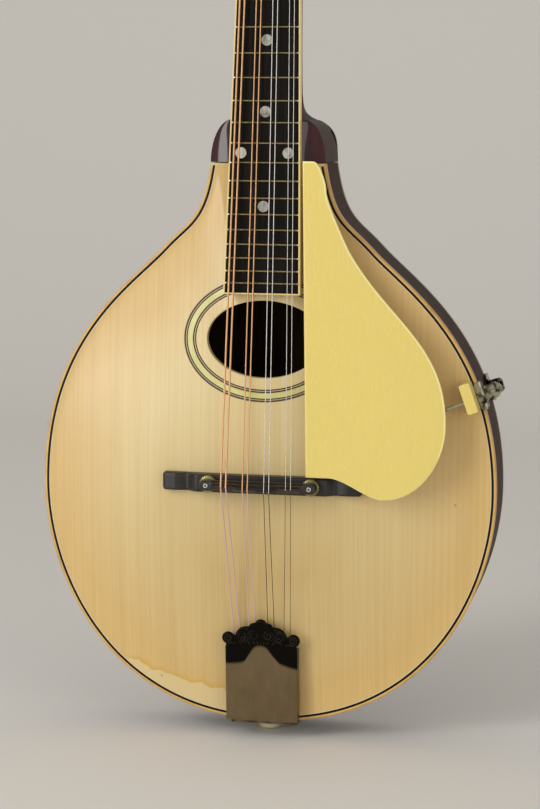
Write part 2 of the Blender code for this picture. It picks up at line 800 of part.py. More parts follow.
def crest_edge():
    """Half of the cover's upper edge in X and Z: round the lobe at its shoulder, through the
    notch and up the stepped crest to its peak."""
    half = TAIL_WIDTH / 2
    centre = np.array([half - CREST_LOBE_INSET, TAIL_COVER_LENGTH])
    edge = []
    for degrees in (-38, 5, 50, 95, 140, 175):
        angle = math.radians(degrees)
        edge.append(tuple(centre + CREST_LOBE_RADIUS * np.array([math.cos(angle), math.sin(angle)])))
    edge += [(half * x, TAIL_COVER_LENGTH + CREST_RISE * z) for x, z in CREST_STEPS]
    return edge


def make_cover():
    """The stamped cover: one sheet with a crest, and a wall down each straight side."""
    half = TAIL_WIDTH / 2
    inner = half - TAIL_COVER_THICKNESS
    t = TAIL_COVER_THICKNESS
    wall = TAIL_COVER_WALL
    top = TAIL_COVER_SIDES
    edge = crest_edge()
    crown = edge + [(-x, z) for x, z in edge[-2::-1]]
    bm = bmesh.new()
    made = {}

    def face(*points):
        corners = []
        for point in points:
            key = tuple(round(c, 9) for c in point)
            if key not in made:
                made[key] = bm.verts.new(point)
            corners.append(made[key])
        bm.faces.new(corners)

    face((half, 0, 0), (half, 0, top), *[(x, 0, z) for x, z in crown], (-half, 0, top), (-half, 0, 0))
    back = [(half, t, top), *[(x, t, z) for x, z in crown], (-half, t, top)]
    face((inner, t, 0), (inner, t, top), *back, (-inner, t, top), (-inner, t, 0))
    rim = [(half, top), *crown, (-half, top)]
    for (x, z), (next_x, next_z) in zip(rim, rim[1:]):
        face((x, 0, z), (next_x, 0, next_z), (next_x, t, next_z), (x, t, z))
    for s in (-1, 1):
        out, near = s * half, s * inner
        face((out, 0, 0), (out, 0, top), (out, t, top), (out, wall, top), (out, wall, 0))
        face((near, t, 0), (near, t, top), (near, wall, top), (near, wall, 0))
        face((out, t, top), (near, t, top), (near, wall, top), (out, wall, top))
        face((out, wall, 0), (out, wall, top), (near, wall, top), (near, wall, 0))
    end = [(inner, t, 0), (inner, wall, 0), (half, wall, 0), (half, 0, 0)]
    face(*end, *[(-x, y, z) for x, y, z in end[::-1]])
    place = Matrix.Translation((0, TOP_Y - TAIL_COVER_HEIGHT, TAIL_Z - TAIL_COVER_PAST_RIM))
    tilt = Matrix.Rotation(TAIL_COVER_TILT, 4, "X")
    add_object("tailpiece_cover", to_mesh(bm, "tailpiece_cover"), "nickel", place @ tilt)


def make_end_pin():
    """A turned pin: tapered shank, neck and a rounded button with a flat face."""
    head = END_PIN_HEAD / 2
    neck = END_PIN_NECK / 2
    low = TAIL_Z - TAIL_BASE_THICKNESS - 2 * CLEAR
    profile = [
        (0, END_PIN_SHANK_LENGTH),
        (neck - 0.0006, END_PIN_SHANK_LENGTH),
        (neck, -0.0006),
        (neck, low - TAIL_Z - 0.0012),
        (head, low - TAIL_Z - 0.0024),
        (head, low - TAIL_Z - 0.0044),
        (0.72 * head, low - TAIL_Z - END_PIN_HEAD_LENGTH),
        (0, low - TAIL_Z - END_PIN_HEAD_LENGTH),
    ]
    place = Matrix.Translation((0, TOP_Y + END_PIN_DEPTH, TAIL_Z))
    turned("end_pin", "ivoroid", profile, place, steps=16)


def turned(name, look, profile, frame, steps=16):
    """A profile in X and Z, top to bottom, turned about Z."""
    mesh = bpy.data.meshes.new(name)
    points = [(x, 0, z) for x, z in profile]
    mesh.from_pydata(points, [(i, i + 1) for i in range(len(points) - 1)], [])
    obj = add_object(name, mesh, look, frame)
    screw = obj.modifiers.new("turn", "SCREW")
    screw.steps = steps
    screw.render_steps = steps
    screw.use_merge_vertices = True
    screw.merge_threshold = 0.00001
    return obj


# Neck, headstock and fingerboard


def board_half(distance):
    """Half the fingerboard's width at a distance from the nut, measured along it."""
    return (NUT_WIDTH + (BOARD_END_WIDTH - NUT_WIDTH) * distance / BOARD_LENGTH) / 2


def seat_y(z):
    """The neck's top plane, under the fingerboard."""
    return z * math.tan(NECK_ANGLE) + (BOARD_THICKNESS + CLEAR) / math.cos(NECK_ANGLE)


def neck_section(z, half, depth, floor_half, boxiness, shoulder):
    """A section of the neck: flat under the fingerboard, then a side that runs from an ellipse
    to a boxy curve. shoulder widens the part that lies behind the body's edge plane."""
    top = seat_y(z)
    narrow = board_half(-z) - EXTENSION_INSET
    step = top + max(0.0012, (TOP_Y - top) * shoulder)
    outer = max(narrow + 0.0001, half)
    right = [(narrow, top), (narrow + 0.00005, step - 0.0006), (outer, step)]
    sides = 6
    for k in range(1, sides + 1):
        angle = math.pi / 2 * k / sides
        x = floor_half + (outer - floor_half) * math.cos(angle) ** boxiness
        right.append((x, step + (depth - step) * math.sin(angle) ** boxiness))
    right = right if floor_half > 0 else right[:-1] + [(0.0004, depth)]
    left = [(-x, y) for x, y in right[::-1]]
    return [(x, y, z) for x, y in right + left]


def neck_loft():
    """Shaft and heel as one loft down the neck. The heel sweeps back to the body's full depth,
    and its shoulders spread to the body's width at the joint."""
    narrow = board_half(0) - EXTENSION_INSET
    heel = JOINT_Z + HEEL_START
    deep = BACK_Y
    wide = SHOULDER_WIDTH / 2
    start = HEAD_START - 0.0002
    shaft_y = seat_y(heel) + NECK_DEPTH_AT_HEEL
    rows = [
        (start, narrow, seat_y(start) + HEAD_THICKNESS + 0.0004, 0, 1.0, 0),
        (-0.0140, board_half(0.0140), seat_y(-0.0140) + NECK_DEPTH_AT_NUT, 0, 1.0, 0),
        (heel, board_half(-heel), shaft_y, 0, 1.0, 0),
        (heel + 0.004 - 0.008, board_half(-heel), shaft_y + 0.0015, 0.0005, 1.0, 0.1),
        (JOINT_Z + 0.0300, 0.0200, shaft_y + 0.0090, 0.0040, 0.95, 0.3),
        (JOINT_Z + 0.0275, 0.0206, deep - 0.0100, 0.0080, 0.9, 0.5),
        (JOINT_Z + 0.0250, 0.0216, deep - 0.0010, 0.0125, 0.8, 0.8),
        (JOINT_Z + 0.0200, 0.0240, deep, 0.0200, 0.65, 1.0),
        (JOINT_Z + 0.0130, 0.0275, deep, 0.0262, 0.5, 1.0),
        (JOINT_Z + 0.0060, wide - 0.0016, deep, wide - 0.0025, 0.4, 1.0),
        (JOINT_Z, wide, deep, wide - 0.0008, 0.4, 1.0),
    ]
    bm = bmesh.new()
    skin(bm, [neck_section(*row) for row in rows])
    return to_mesh(bm, "neck", smooth=True)


def tenon_mesh(grow):
    """The dovetail tenon, wider at its end and at its front."""
    low = TOP_Y + PLATE_THICKNESS + 2 * CLEAR - grow
    high = TOP_Y + TENON_DEPTH + grow
    bm = bmesh.new()
    loops = []
    for y, taper in ((low, 1.0), (high, 0.75)):
        near = TENON_WIDTH / 2 * taper + grow
        far = (TENON_WIDTH + TENON_FLARE) / 2 * taper + grow
        end = BODY_Z - TENON_LENGTH - grow
        start = JOINT_Z + 0.004
        loops.append([(near, y, start), (far, y, end), (-far, y, end), (-near, y, start)])
    skin(bm, loops)
    return to_mesh(bm, "tenon")


def extension_mesh():
    """The neck's wedge over the body, under the fingerboard. The arch is cut from it later."""
    end = -BOARD_LENGTH * math.cos(NECK_ANGLE) + EXTENSION_SHORT_OF_BOARD
    loops = []
    for z in (JOINT_Z + 0.004, end):
        half = board_half(-z) - EXTENSION_INSET
        top = seat_y(z)
        low = TOP_Y + PLATE_THICKNESS
        loops.append([(-half, top, z), (half, top, z), (half, low, z), (-half, low, z)])
    bm = bmesh.new()
    skin(bm, loops)
    return to_mesh(bm, "neck_extension")


def head_outline(low):
    """The headstock's plan in its own frame: a paddle that widens to its top."""
    nut = np.array([NUT_WIDTH / 2, low])
    ear = np.array([HEAD_EAR_WIDTH / 2, HEAD_EAR_HEIGHT])
    corner = np.array([HEAD_WIDTH / 2, HEAD_LENGTH - 0.009])
    notch = np.array([0.62 * HEAD_WIDTH / 2, HEAD_LENGTH - 0.0035])
    peak = np.array([0.0, HEAD_LENGTH])
    up = np.array([0, 1.0])
    out = np.array([1.0, 0])
    anchors = [
        (nut, nut, nut + up * 0.012),
        (ear, ear - up * 0.014, ear + up * 0.01),
        (corner, corner - up * 0.02, corner + up * 0.006),
        (notch, notch + out * 0.006, notch - out * 0.004),
        (peak, peak + out * 0.012, peak),
    ]
    right = curve_points(anchors, (6, 2, 5, 4))
    return right + [(-x, z) for x, z in right[-2::-1]]


def tuner_places():
    """Each tuner as its side, its course, its string and its place in the headstock's frame.
    The strings nearest the edge go to the posts nearest the nut."""
    places = []
    for course in range(4):
        side = -1 if course < 2 else 1
        for string in range(2):
            row = (course * 2 + string) if side < 0 else (7 - course * 2 - string)
            places.append((side, course, string, FIRST_TUNER + row * TUNER_SPACING))
    return places


def post_bores(name, grow, sides):
    rods = [
        (
            (side * TUNER_ROW, -0.02, z),
            (side * TUNER_ROW, HEAD_THICKNESS + 0.02, z),
            POST_RADIUS + grow,
        )
        for side, _, _, z in tuner_places()
    ]
    return add_cutter(name, rod_mesh(name, *rods, sides=sides), HEAD_FRAME)


def make_neck():
    neck = add_object("neck", neck_loft(), "mahogany")
    head = flat_mesh("headstock", head_outline(-0.007), 0, HEAD_THICKNESS, smooth=True)
    boolean(neck, add_cutter("headstock_core", head, HEAD_FRAME), "UNION")
    boolean(neck, add_cutter("tenon", tenon_mesh(0)), "UNION")
    extension = add_cutter("neck_extension", extension_mesh())
    under_arch = under_arch_cutter()
    boolean(extension, under_arch, "DIFFERENCE")
    boolean(neck, extension, "UNION")
    seat = box_mesh(
        "nut_seat",
        ((-NUT_WIDTH, -0.02, -BOARD_LENGTH - 0.05), (NUT_WIDTH, BOARD_THICKNESS + CLEAR, HEAD_START)),
    )
    boolean(neck, add_cutter("nut_seat", seat, NECK_FRAME), "DIFFERENCE")
    bores = post_bores("post_bores", CLEAR, 10)
    boolean(neck, bores, "DIFFERENCE")

    veneer = flat_mesh(
        "headstock_veneer", head_outline(0.0005), -VENEER_THICKNESS - CLEAR, -CLEAR
    )
    veneer = add_object("headstock_veneer", veneer, "ebony", HEAD_FRAME)
    boolean(veneer, bores, "DIFFERENCE")

    cap_half = SHOULDER_WIDTH / 2 - HEEL_CAP_INSET
    shares = ((1, 0), (0.92, 0.48), (0.68, 0.81), (0.30, 1))
    cap = [(x * cap_half, JOINT_Z + z * HEEL_CAP_LENGTH) for x, z in shares]
    cap += [(-x, z) for x, z in cap[::-1]]
    cap_y = BACK_Y + CLEAR
    add_object("heel_cap", flat_mesh("heel_cap", cap, cap_y, cap_y + HEEL_CAP_THICKNESS), "ebony")
    return under_arch


def make_fingerboard():
    """Board, its side and end binding, and the frets, which are fused to the board."""
    inner = [
        (board_half(0) - BOARD_BINDING - CLEAR, 0),
        (board_half(BOARD_LENGTH) - BOARD_BINDING - CLEAR, -BOARD_LENGTH + BOARD_BINDING + CLEAR),
    ]
    inner += [(-x, z) for x, z in inner[::-1]]
    board = flat_mesh("fingerboard", inner, 0, BOARD_THICKNESS)
    board = add_object("fingerboard", board, "ebony", NECK_FRAME)
    frets = bmesh.new()
    for number in range(1, FRET_COUNT + 1):
        place = SCALE_LENGTH * (1 - 2 ** (-number / 12))
        reach = board_half(place) - FRET_INSET
        half = FRET_WIDTH / 2
        crown = [
            (0, -place - half),
            (-0.72 * FRET_HEIGHT, -place - 0.62 * half),
            (-FRET_HEIGHT, -place),
            (-0.72 * FRET_HEIGHT, -place + 0.62 * half),
            (0, -place + half),
        ]
        skin(frets, [[(x, y, z) for y, z in crown] for x in (-reach, reach)])
        root = FRET_WIDTH * 0.2
        inner_reach = board_half(place) - BOARD_BINDING - 2 * CLEAR
        add_box(
            frets,
            (-inner_reach, -0.4 * FRET_HEIGHT, -place - root),
            (inner_reach, 0.0010, -place + root),
        )
    frets = add_cutter("frets", to_mesh(frets, "frets"), NECK_FRAME)
    joined = boolean(board, frets, "UNION")
    joined.use_self = True

    path = [
        (board_half(0), 0),
        (board_half(BOARD_LENGTH), -BOARD_LENGTH),
        (-board_half(BOARD_LENGTH), -BOARD_LENGTH),
        (-board_half(0), 0),
    ]
    bm = bmesh.new()
    open_wall(bm, path, CLEAR, BOARD_THICKNESS)
    strip = walled("fingerboard_binding", "ivoroid", bm, BOARD_BINDING)
    strip.matrix_world = NECK_FRAME


def make_nut():
    """The nut with a slot for each string."""
    half = NUT_WIDTH / 2
    tall = NUT_ACTION + 0.0008
    profile = [
        (BOARD_THICKNESS, CLEAR),
        (-tall, CLEAR),
        (-tall, 0.4 * NUT_THICKNESS),
        (0.0004, NUT_THICKNESS),
        (BOARD_THICKNESS, NUT_THICKNESS),
    ]
    bm = bmesh.new()
    skin(bm, [[(x, y, z) for y, z in profile] for x in (-half, half)])
    nut = add_object("nut", to_mesh(bm, "nut"), "bone", NECK_FRAME)
    slots = bmesh.new()
    for course in range(4):
        wide = STRING_DIAMETERS[course] / 2 + 2 * CLEAR
        for x in string_spots(NUT_COURSES, NUT_PAIR, course):
            add_box(slots, (x - wide, -0.01, -0.01), (x + wide, -NUT_ACTION + CLEAR, 0.02))
    boolean(nut, add_cutter("nut_slots", to_mesh(slots, "nut_slots"), NECK_FRAME), "DIFFERENCE")


# Bridge


def string_spots(courses, pair, course):
    return [courses[course] + side * pair / 2 for side in (-1, 1)]


def saddle_top(course):
    """Where a course crosses the saddle, as Y of its contact and Z."""
    along = -SCALE_LENGTH - COMPENSATION[course]
    point = NECK_FRAME @ Vector((0, -BRIDGE_ACTION, along))
    return point.y, point.z


def base_profile():
    """The bridge base's upper edge: centre block, scoops and wings, as X and height."""
    half = BRIDGE_LENGTH / 2
    centre = POST_SPACING / 2 + THUMBWHEEL_DIAMETER / 2 + 0.0020
    right = [
        (centre, BRIDGE_BASE_HEIGHT),
        (centre + 0.0030, 0.5 * (BRIDGE_BASE_HEIGHT + BRIDGE_SCOOP_HEIGHT)),
        (centre + 0.0065, BRIDGE_SCOOP_HEIGHT),
        (centre + 0.0105, 0.86 * BRIDGE_WING_HEIGHT),
        (half - 0.0060, BRIDGE_WING_HEIGHT),
        (half - 0.0018, 0.92 * BRIDGE_WING_HEIGHT),
        (half, 0.60 * BRIDGE_WING_HEIGHT),
    ]
    return right


def make_bridge(under_arch):
    """The adjustable bridge: base, two threaded posts, two thumbwheels and the saddle."""
    base_top = TOP_Y - TOP_ARCH - CLEAR - BRIDGE_BASE_HEIGHT
    right = base_profile()
    line = [(-x, h) for x, h in right[::-1]] + right
    half = BRIDGE_WIDTH / 2
    loops = []
    for x, height in line:
        floor = max(top_depth(x, BRIDGE_Z + s * half) for s in (-1, 1)) + 0.003
        if abs(x) < POST_SPACING / 2 + THUMBWHEEL_DIAMETER:
            top = base_top + BRIDGE_BASE_HEIGHT - height
        else:
            top = top_depth(x, BRIDGE_Z) - CLEAR - height
        edge = 0.82 * half
        loops.append(
            [
                (x, floor, BRIDGE_Z - half),
                (x, top + 0.0008, BRIDGE_Z - half),
                (x, top, BRIDGE_Z - edge),
                (x, top, BRIDGE_Z + edge),
                (x, top + 0.0008, BRIDGE_Z + half),
                (x, floor, BRIDGE_Z + half),
            ]
        )
    bm = bmesh.new()
    skin(bm, loops)
    base = add_object("bridge_base", to_mesh(bm, "bridge_base"), "ebony")
    boolean(base, under_arch, "DIFFERENCE")

    wheel_low = base_top - CLEAR
    saddle_low = wheel_low - THUMBWHEEL_THICKNESS - CLEAR
    lobe_top = saddle_low - SADDLE_LOBE_HEIGHT
    radius = POST_DIAMETER / 2
    rods = []
    for side in (-1, 1):
        x = side * POST_SPACING / 2
        ends = (x, base_top + BRIDGE_POST_SEAT, BRIDGE_Z), (x, lobe_top - 0.01, BRIDGE_Z)
        rods.append((*ends, radius + CLEAR))
    bores = add_cutter("bridge_post_bores", rod_mesh("bridge_post_bores", *rods, sides=12))
    boolean(base, bores, "DIFFERENCE")
    for side, name in ((-1, "bass"), (1, "treble")):
        x = side * POST_SPACING / 2
        post = rod_mesh(
            f"bridge_post_{name}",
            (
                (x, base_top + BRIDGE_POST_SEAT - CLEAR, BRIDGE_Z),
                (x, lobe_top + CLEAR, BRIDGE_Z),
                radius,
            ),
        )
        add_object(f"bridge_post_{name}", post, "nickel")
        wheel = bmesh.new()
        outer = []
        inner = []
        for i in range(2 * THUMBWHEEL_NOTCHES):
            angle = math.tau * i / (2 * THUMBWHEEL_NOTCHES)
            reach = THUMBWHEEL_DIAMETER / 2 * (1 if i % 2 else 0.93)
            outer.append((reach * math.cos(angle), reach * math.sin(angle)))
            inner.append(((radius + CLEAR) * math.cos(angle), (radius + CLEAR) * math.sin(angle)))
        t = THUMBWHEEL_THICKNESS
        around = ((outer, 0), (outer, -t), (inner, -t), (inner, 0))
        loops = [[(x, y, z) for x, z in ring] for ring, y in around]
        skin(wheel, loops, ring=True)
        place = Matrix.Translation((x, wheel_low, BRIDGE_Z))
        add_object(f"thumbwheel_{name}", to_mesh(wheel, f"thumbwheel_{name}"), "brass", place)
    make_saddle(saddle_low, lobe_top, bores)


def make_saddle(low, lobe_top, bores):
    """The saddle: round lobes over the posts and a raised middle, whose crest steps to and fro
    so that each course plays in tune."""
    half = SADDLE_WIDTH / 2
    end = SADDLE_LENGTH / 2
    rise_at = POST_SPACING / 2 - POST_DIAMETER / 2 - 0.0022
    crest = min(saddle_top(c)[0] for c in range(4)) + 2 * CLEAR
    side_top = crest + SADDLE_CREST
    profile = [
        (end, low),
        (end, lobe_top + 0.0008),
        (end - 0.0008, lobe_top),
        (rise_at, lobe_top),
        (rise_at - 0.0022, side_top),
    ]
    profile += [(-x, y) for x, y in profile[::-1]]
    mid_scoop = [(-0.4 * rise_at, low), (0.4 * rise_at, low)]
    profile += [(x, y - 0.0006) for x, y in mid_scoop]
    bm = bmesh.new()
    skin(bm, [[(x, y, BRIDGE_Z + s * SADDLE_WIDTH) for x, y in profile] for s in (-1, 1)])
    saddle = add_object("bridge_saddle", to_mesh(bm, "bridge_saddle"), "ebony")
    steps = bmesh.new()
    between = [0.5 * (a + b) for a, b in zip(BRIDGE_COURSES, BRIDGE_COURSES[1:])]
    edges = [-rise_at + 0.0024, *between, rise_at - 0.0024]
    for course in range(4):
        contact, z = saddle_top(course)
        back = max(z - SADDLE_CREST_WIDTH / 2, BRIDGE_Z - half)
        add_box(
            steps,
            (edges[course], contact + CLEAR, back),
            (edges[course + 1], side_top + 0.001, back + SADDLE_CREST_WIDTH),
        )
    joined = boolean(saddle, add_cutter("saddle_crest", to_mesh(steps, "saddle_crest")), "UNION")
    joined.use_self = True
    plan = []
    for s in (1, -1):
        for degrees in range(-90, 91, 30):
            angle = math.radians(degrees)
            across = half * math.sin(angle)
            plan.append((s * (end - half + half * math.cos(angle)), BRIDGE_Z + s * across))
    plan = flat_mesh("saddle_plan", plan, crest - SADDLE_LOBE_HEIGHT, low + SADDLE_LOBE_HEIGHT)
    boolean(saddle, add_cutter("saddle_plan", plan), "INTERSECT")
    boolean(saddle, bores, "DIFFERENCE")


# Pickguard and clamp


def guard_outline():
    """The pickguard's plan, from its corner at the neck down the strings and back up its edge."""
    top = JOINT_Z + GUARD_ABOVE_JOINT
    foot, toe, belly = (np.array([x, BRIDGE_Z + z]) for x, z in (GUARD_FOOT, GUARD_TOE, GUARD_BELLY))
    waist, neck, corner = (
        np.array([x, JOINT_Z + z]) for x, z in (GUARD_WAIST, GUARD_NECK, GUARD_CORNER)
    )
    along = polar(GUARD_WAIST_ANGLE, 1)
    up = np.array([0, 1.0])
    out = np.array([1.0, 0])
    fall = (belly[1] - toe[1]) / 2
    climb = (waist[1] - belly[1]) / 2
    anchors = [
        (foot, foot, foot + out * 0.3 * (toe[0] - foot[0])),
        (toe, toe - out * 0.3 * (toe[0] - foot[0]), toe + out * 0.59 * (belly[0] - toe[0])),
        (belly, belly - up * 0.96 * fall, belly + up * 0.96 * climb),
        (waist, waist + along * 0.94 * climb, waist - along * 0.01 * climb),
        (neck, neck - up * GUARD_NECK_BEND, neck + up * 0.8 * GUARD_NECK_BEND),
        (corner, corner + out * 0.5 * GUARD_NECK_BEND, corner),
    ]
    return [(guard_inner(top), top), (guard_inner(foot[1]), foot[1])] + curve_points(
        anchors, GUARD_STEPS
    )


def guard_inner(z):
    """The straight edge of the pickguard beside the fingerboard and the strings."""
    top = board_half(-JOINT_Z) + GUARD_TO_BOARD
    low = BRIDGE_COURSES[3] + GUARD_TO_STRINGS
    return top + (low - top) * (z - JOINT_Z) / (BRIDGE_Z - JOINT_Z)


def guard_y(z):
    """The pickguard's front face in Y, at a height. It rises beside the board to pass close
    behind the line of the board's surface at the bridge."""
    top = JOINT_Z * math.tan(NECK_ANGLE) - GUARD_OVER_BOARD
    low = BRIDGE_Z * math.tan(NECK_ANGLE) + GUARD_UNDER_BOARD_LINE
    return top + (low - top) * (z - JOINT_Z) / (BRIDGE_Z - JOINT_Z)


def make_guard():
    outline = guard_outline()
    bm = bmesh.new()
    skin(bm, [[(x, guard_y(z) + t, z) for x, z in outline] for t in (0, GUARD_THICKNESS)])
    guard = add_object("pickguard", to_mesh(bm, "pickguard"), "celluloid")

    z = JOINT_Z - GUARD_PIN_BELOW_JOINT
    back = guard_y(z) + GUARD_THICKNESS
    edge = guard_inner(z) + 2 * CLEAR
    lug = box_mesh(
        "guard_lug",
        (
            (edge, back - GUARD_THICKNESS / 2, z - GUARD_LUG_WIDTH / 2),
            (edge + GUARD_LUG_LENGTH, back + GUARD_LUG_HEIGHT, z + GUARD_LUG_WIDTH / 2),
        ),
    )
    boolean(guard, add_cutter("guard_lug", lug), "UNION")
    pin_y = back + GUARD_LUG_HEIGHT / 2
    side = board_half(-z)
    start = side - GUARD_PIN_IN_BOARD
    end = edge + 0.7 * GUARD_LUG_LENGTH
    pin = rod_mesh("guard_pin", ((start, pin_y, z), (end, pin_y, z), GUARD_PIN_DIAMETER / 2), sides=8)
    add_object("guard_pin", pin, "nickel")
    bore = rod_mesh(
        "guard_pin_bore",
        ((start - CLEAR, pin_y, z), (end + CLEAR, pin_y, z), GUARD_PIN_DIAMETER / 2 + CLEAR),
        sides=8,
    )
    bore = add_cutter("guard_pin_bore", bore)
    for name in ("pickguard", "fingerboard", "fingerboard_binding"):
        boolean(bpy.data.objects[name], bore, "DIFFERENCE")
    make_clamp()


def clamp_frame():
    """A frame on the rim's edge at the clamp: X points straight out, Z runs along the edge."""
    z = BODY_Z - CLAMP_BELOW_JOINT
    right = OUTLINE[: sum(OUTLINE_STEPS) - len(OUTLINE_STEPS) + 1]
    index = max(i for i, p in enumerate(right) if p[1] > z)
    a, b = right[index], right[index + 1]
    share = (z - a[1]) / (b[1] - a[1])
    point = a + (b - a) * share
    along = (a - b) / np.linalg.norm(a - b)
    turn = math.atan2(along[0], along[1])
    return Matrix.Translation((point[0], TOP_Y, point[1])) @ Matrix.Rotation(turn, 4, "Y")


def make_clamp():
    """The clamp grips the rim between a jaw on the front edge and one on the back edge. Its
    knurled nut draws them together, and its block carries the rod under the pickguard."""
    frame = clamp_frame()
    face = CLEAR + 0.0004
    half = CLAMP_WIDTH / 2
    sheet = CLAMP_SHEET
    lug = CLAMP_LUG_WIDTH / 2
    screw_x = face + sheet + CLAMP_LUG / 2 + 0.0014
    deep = RIM_DEPTH
    out = face + sheet + CLAMP_LUG + 0.0014
    upper = box_mesh(
        "clamp_upper_jaw",
        ((-CLAMP_LIP, -CLEAR - sheet, -half), (face + sheet, -CLEAR, half)),
        ((face, -CLEAR - sheet, -half), (face + sheet, CLAMP_WALL, half)),
        ((face, CLAMP_WALL - sheet, -lug), (out, CLAMP_WALL, lug)),
    )
    foot = deep + CLEAR + sheet
    wall = deep - CLAMP_WALL
    lower = box_mesh(
        "clamp_lower_jaw",
        ((-CLAMP_LIP, deep + CLEAR, -half), (face + sheet, foot, half)),
        ((face, wall, -half), (face + sheet, foot, half)),
        ((face, wall, -lug), (out, wall + sheet, lug)),
    )
    for name, mesh in (("clamp_upper_jaw", upper), ("clamp_lower_jaw", lower)):
        jaw = add_object(name, mesh, "nickel", frame)
        whole = add_cutter(name + "_sheets", mesh.copy(), frame)
        joined = boolean(jaw, whole, "UNION")
        joined.use_self = True
    bore = rod_mesh(
        "clamp_bore", ((screw_x, 0, 0), (screw_x, deep, 0), CLAMP_SCREW_DIAMETER / 2 + CLEAR)
    )
    bore = add_cutter("clamp_bore", bore, frame)
    for name in ("clamp_upper_jaw", "clamp_lower_jaw"):
        boolean(bpy.data.objects[name], bore, "DIFFERENCE")

    screw = bmesh.new()
    top = CLAMP_WALL - 0.0030
    bottom = deep - CLAMP_WALL + 0.0040
    nut_start = CLAMP_WALL + CLEAR
    add_rod(screw, (0, top, 0), (0, bottom, 0), CLAMP_SCREW_DIAMETER / 2)
    nut = []
    for i in range(2 * CLAMP_NUT_FLUTES):
        angle = math.tau * i / (2 * CLAMP_NUT_FLUTES)
        reach = CLAMP_NUT_DIAMETER / 2 * (1 if i % 2 else 0.88)
        nut.append((reach * math.cos(angle), reach * math.sin(angle)))
    barrel = bmesh.new()
    skin(barrel, [[(x, y, z) for x, z in nut] for y in (nut_start, nut_start + CLAMP_NUT_LENGTH)])
    place = frame @ Matrix.Translation((screw_x, 0, 0))
    knob = add_object("clamp_screw", to_mesh(barrel, "clamp_screw"), "nickel", place)
    boolean(knob, add_cutter("clamp_rod", to_mesh(screw, "clamp_rod"), place), "UNION")

    block_x = -CLAMP_LIP - CLEAR
    block_low = -CLEAR - 0.0004
    near = GUARD_BLOCK_OFFSET - GUARD_BLOCK_LENGTH / 2
    far = GUARD_BLOCK_OFFSET + GUARD_BLOCK_LENGTH / 2
    block = box_mesh(
        "guard_block",
        (
            (block_x - GUARD_BLOCK_WIDTH, block_low - GUARD_BLOCK_HEIGHT, near),
            (block_x, block_low, far),
        ),
    )
    block = add_object("guard_block", block, "celluloid", frame)
    make_guard_rod(frame, block, block_x - GUARD_BLOCK_WIDTH, block_low - GUARD_BLOCK_HEIGHT)


def make_guard_rod(frame, block, face_x, block_top):
    """The rod that carries the pickguard: it leans from its bore in the block to just under the
    pickguard's back."""
    radius = GUARD_ROD_DIAMETER / 2
    end_x = face_x - GUARD_ROD_REACH
    under = frame @ Vector((end_x, 0, 0))
    end = Vector((end_x, guard_y(under.z) + GUARD_THICKNESS - TOP_Y + CLEAR + 1.1 * radius, 0))
    face = Vector((face_x, block_top + GUARD_ROD_BELOW_BLOCK_TOP, 0))
    along = (face - end).normalized()
    start = face + along * GUARD_ROD_IN_BLOCK
    rod = rod_mesh("guard_rod", (start, end, radius))
    add_object("guard_rod", rod, "nickel", frame)
    bore = rod_mesh("guard_rod_bore", (start + along * CLEAR, end, radius + CLEAR))
    boolean(block, add_cutter("guard_rod_bore", bore, frame), "DIFFERENCE")


# Tuners


def gear_outline(radius, tooth, twist):
    """The worm wheel's outline: flat-topped teeth, turned by twist."""
    root = radius - tooth / 2
    tip = radius + tooth / 2
    step = math.tau / GEAR_TEETH
    wide = step * TOOTH_SHARE / 2
    points = []
    for i in range(GEAR_TEETH):
        centre = i * step + twist
        for share, reach in ((-1.5, root), (-0.6, tip), (0.6, tip), (1.5, root)):
            angle = centre + share * wide
            points.append((reach * math.cos(angle), reach * math.sin(angle)))
    return points


def make_tuner_post(name, course_phase, frame):
    """A string post with its worm wheel and wheel screw, turned about Y."""
    front = -VENEER_THICKNESS - CLEAR - POST_HEIGHT
    plate_back = HEAD_THICKNESS + PLATE_SHEET + 2 * CLEAR
    gear_low = plate_back + GEAR_STAND_OFF - GEAR_WIDTH / 2 + 0.0010
    lead = math.atan(GEAR_PITCH / (math.tau * WORM_RADIUS))
    slant = math.tan(lead) * GEAR_WIDTH / GEAR_RADIUS
    bm = bmesh.new()
    loops = []
    for y, sign in ((gear_low, -0.5), (gear_low + GEAR_WIDTH, 0.5)):
        points = gear_outline(GEAR_RADIUS, TOOTH_HEIGHT, course_phase)
        turn = Matrix.Rotation(sign * slant, 4, "Y")
        loops.append([turn @ Vector((x, y, z)) for x, z in points])
    skin(bm, loops)
    post = add_object(name, to_mesh(bm, name), "nickel", frame)
    shaft = bmesh.new()
    add_rod(shaft, (0, front, 0), (0, gear_low + 0.0004, 0), POST_RADIUS, sides=8)
    add_rod(shaft, (0, gear_low + 0.0002, 0), (0, gear_low + GEAR_WIDTH + 0.0008, 0), 0.0021, sides=8)
    shaft = add_cutter(name + "_shaft", to_mesh(shaft, name + "_shaft"), frame)
    joined = boolean(post, shaft, "UNION")
    joined.use_self = True
    return post


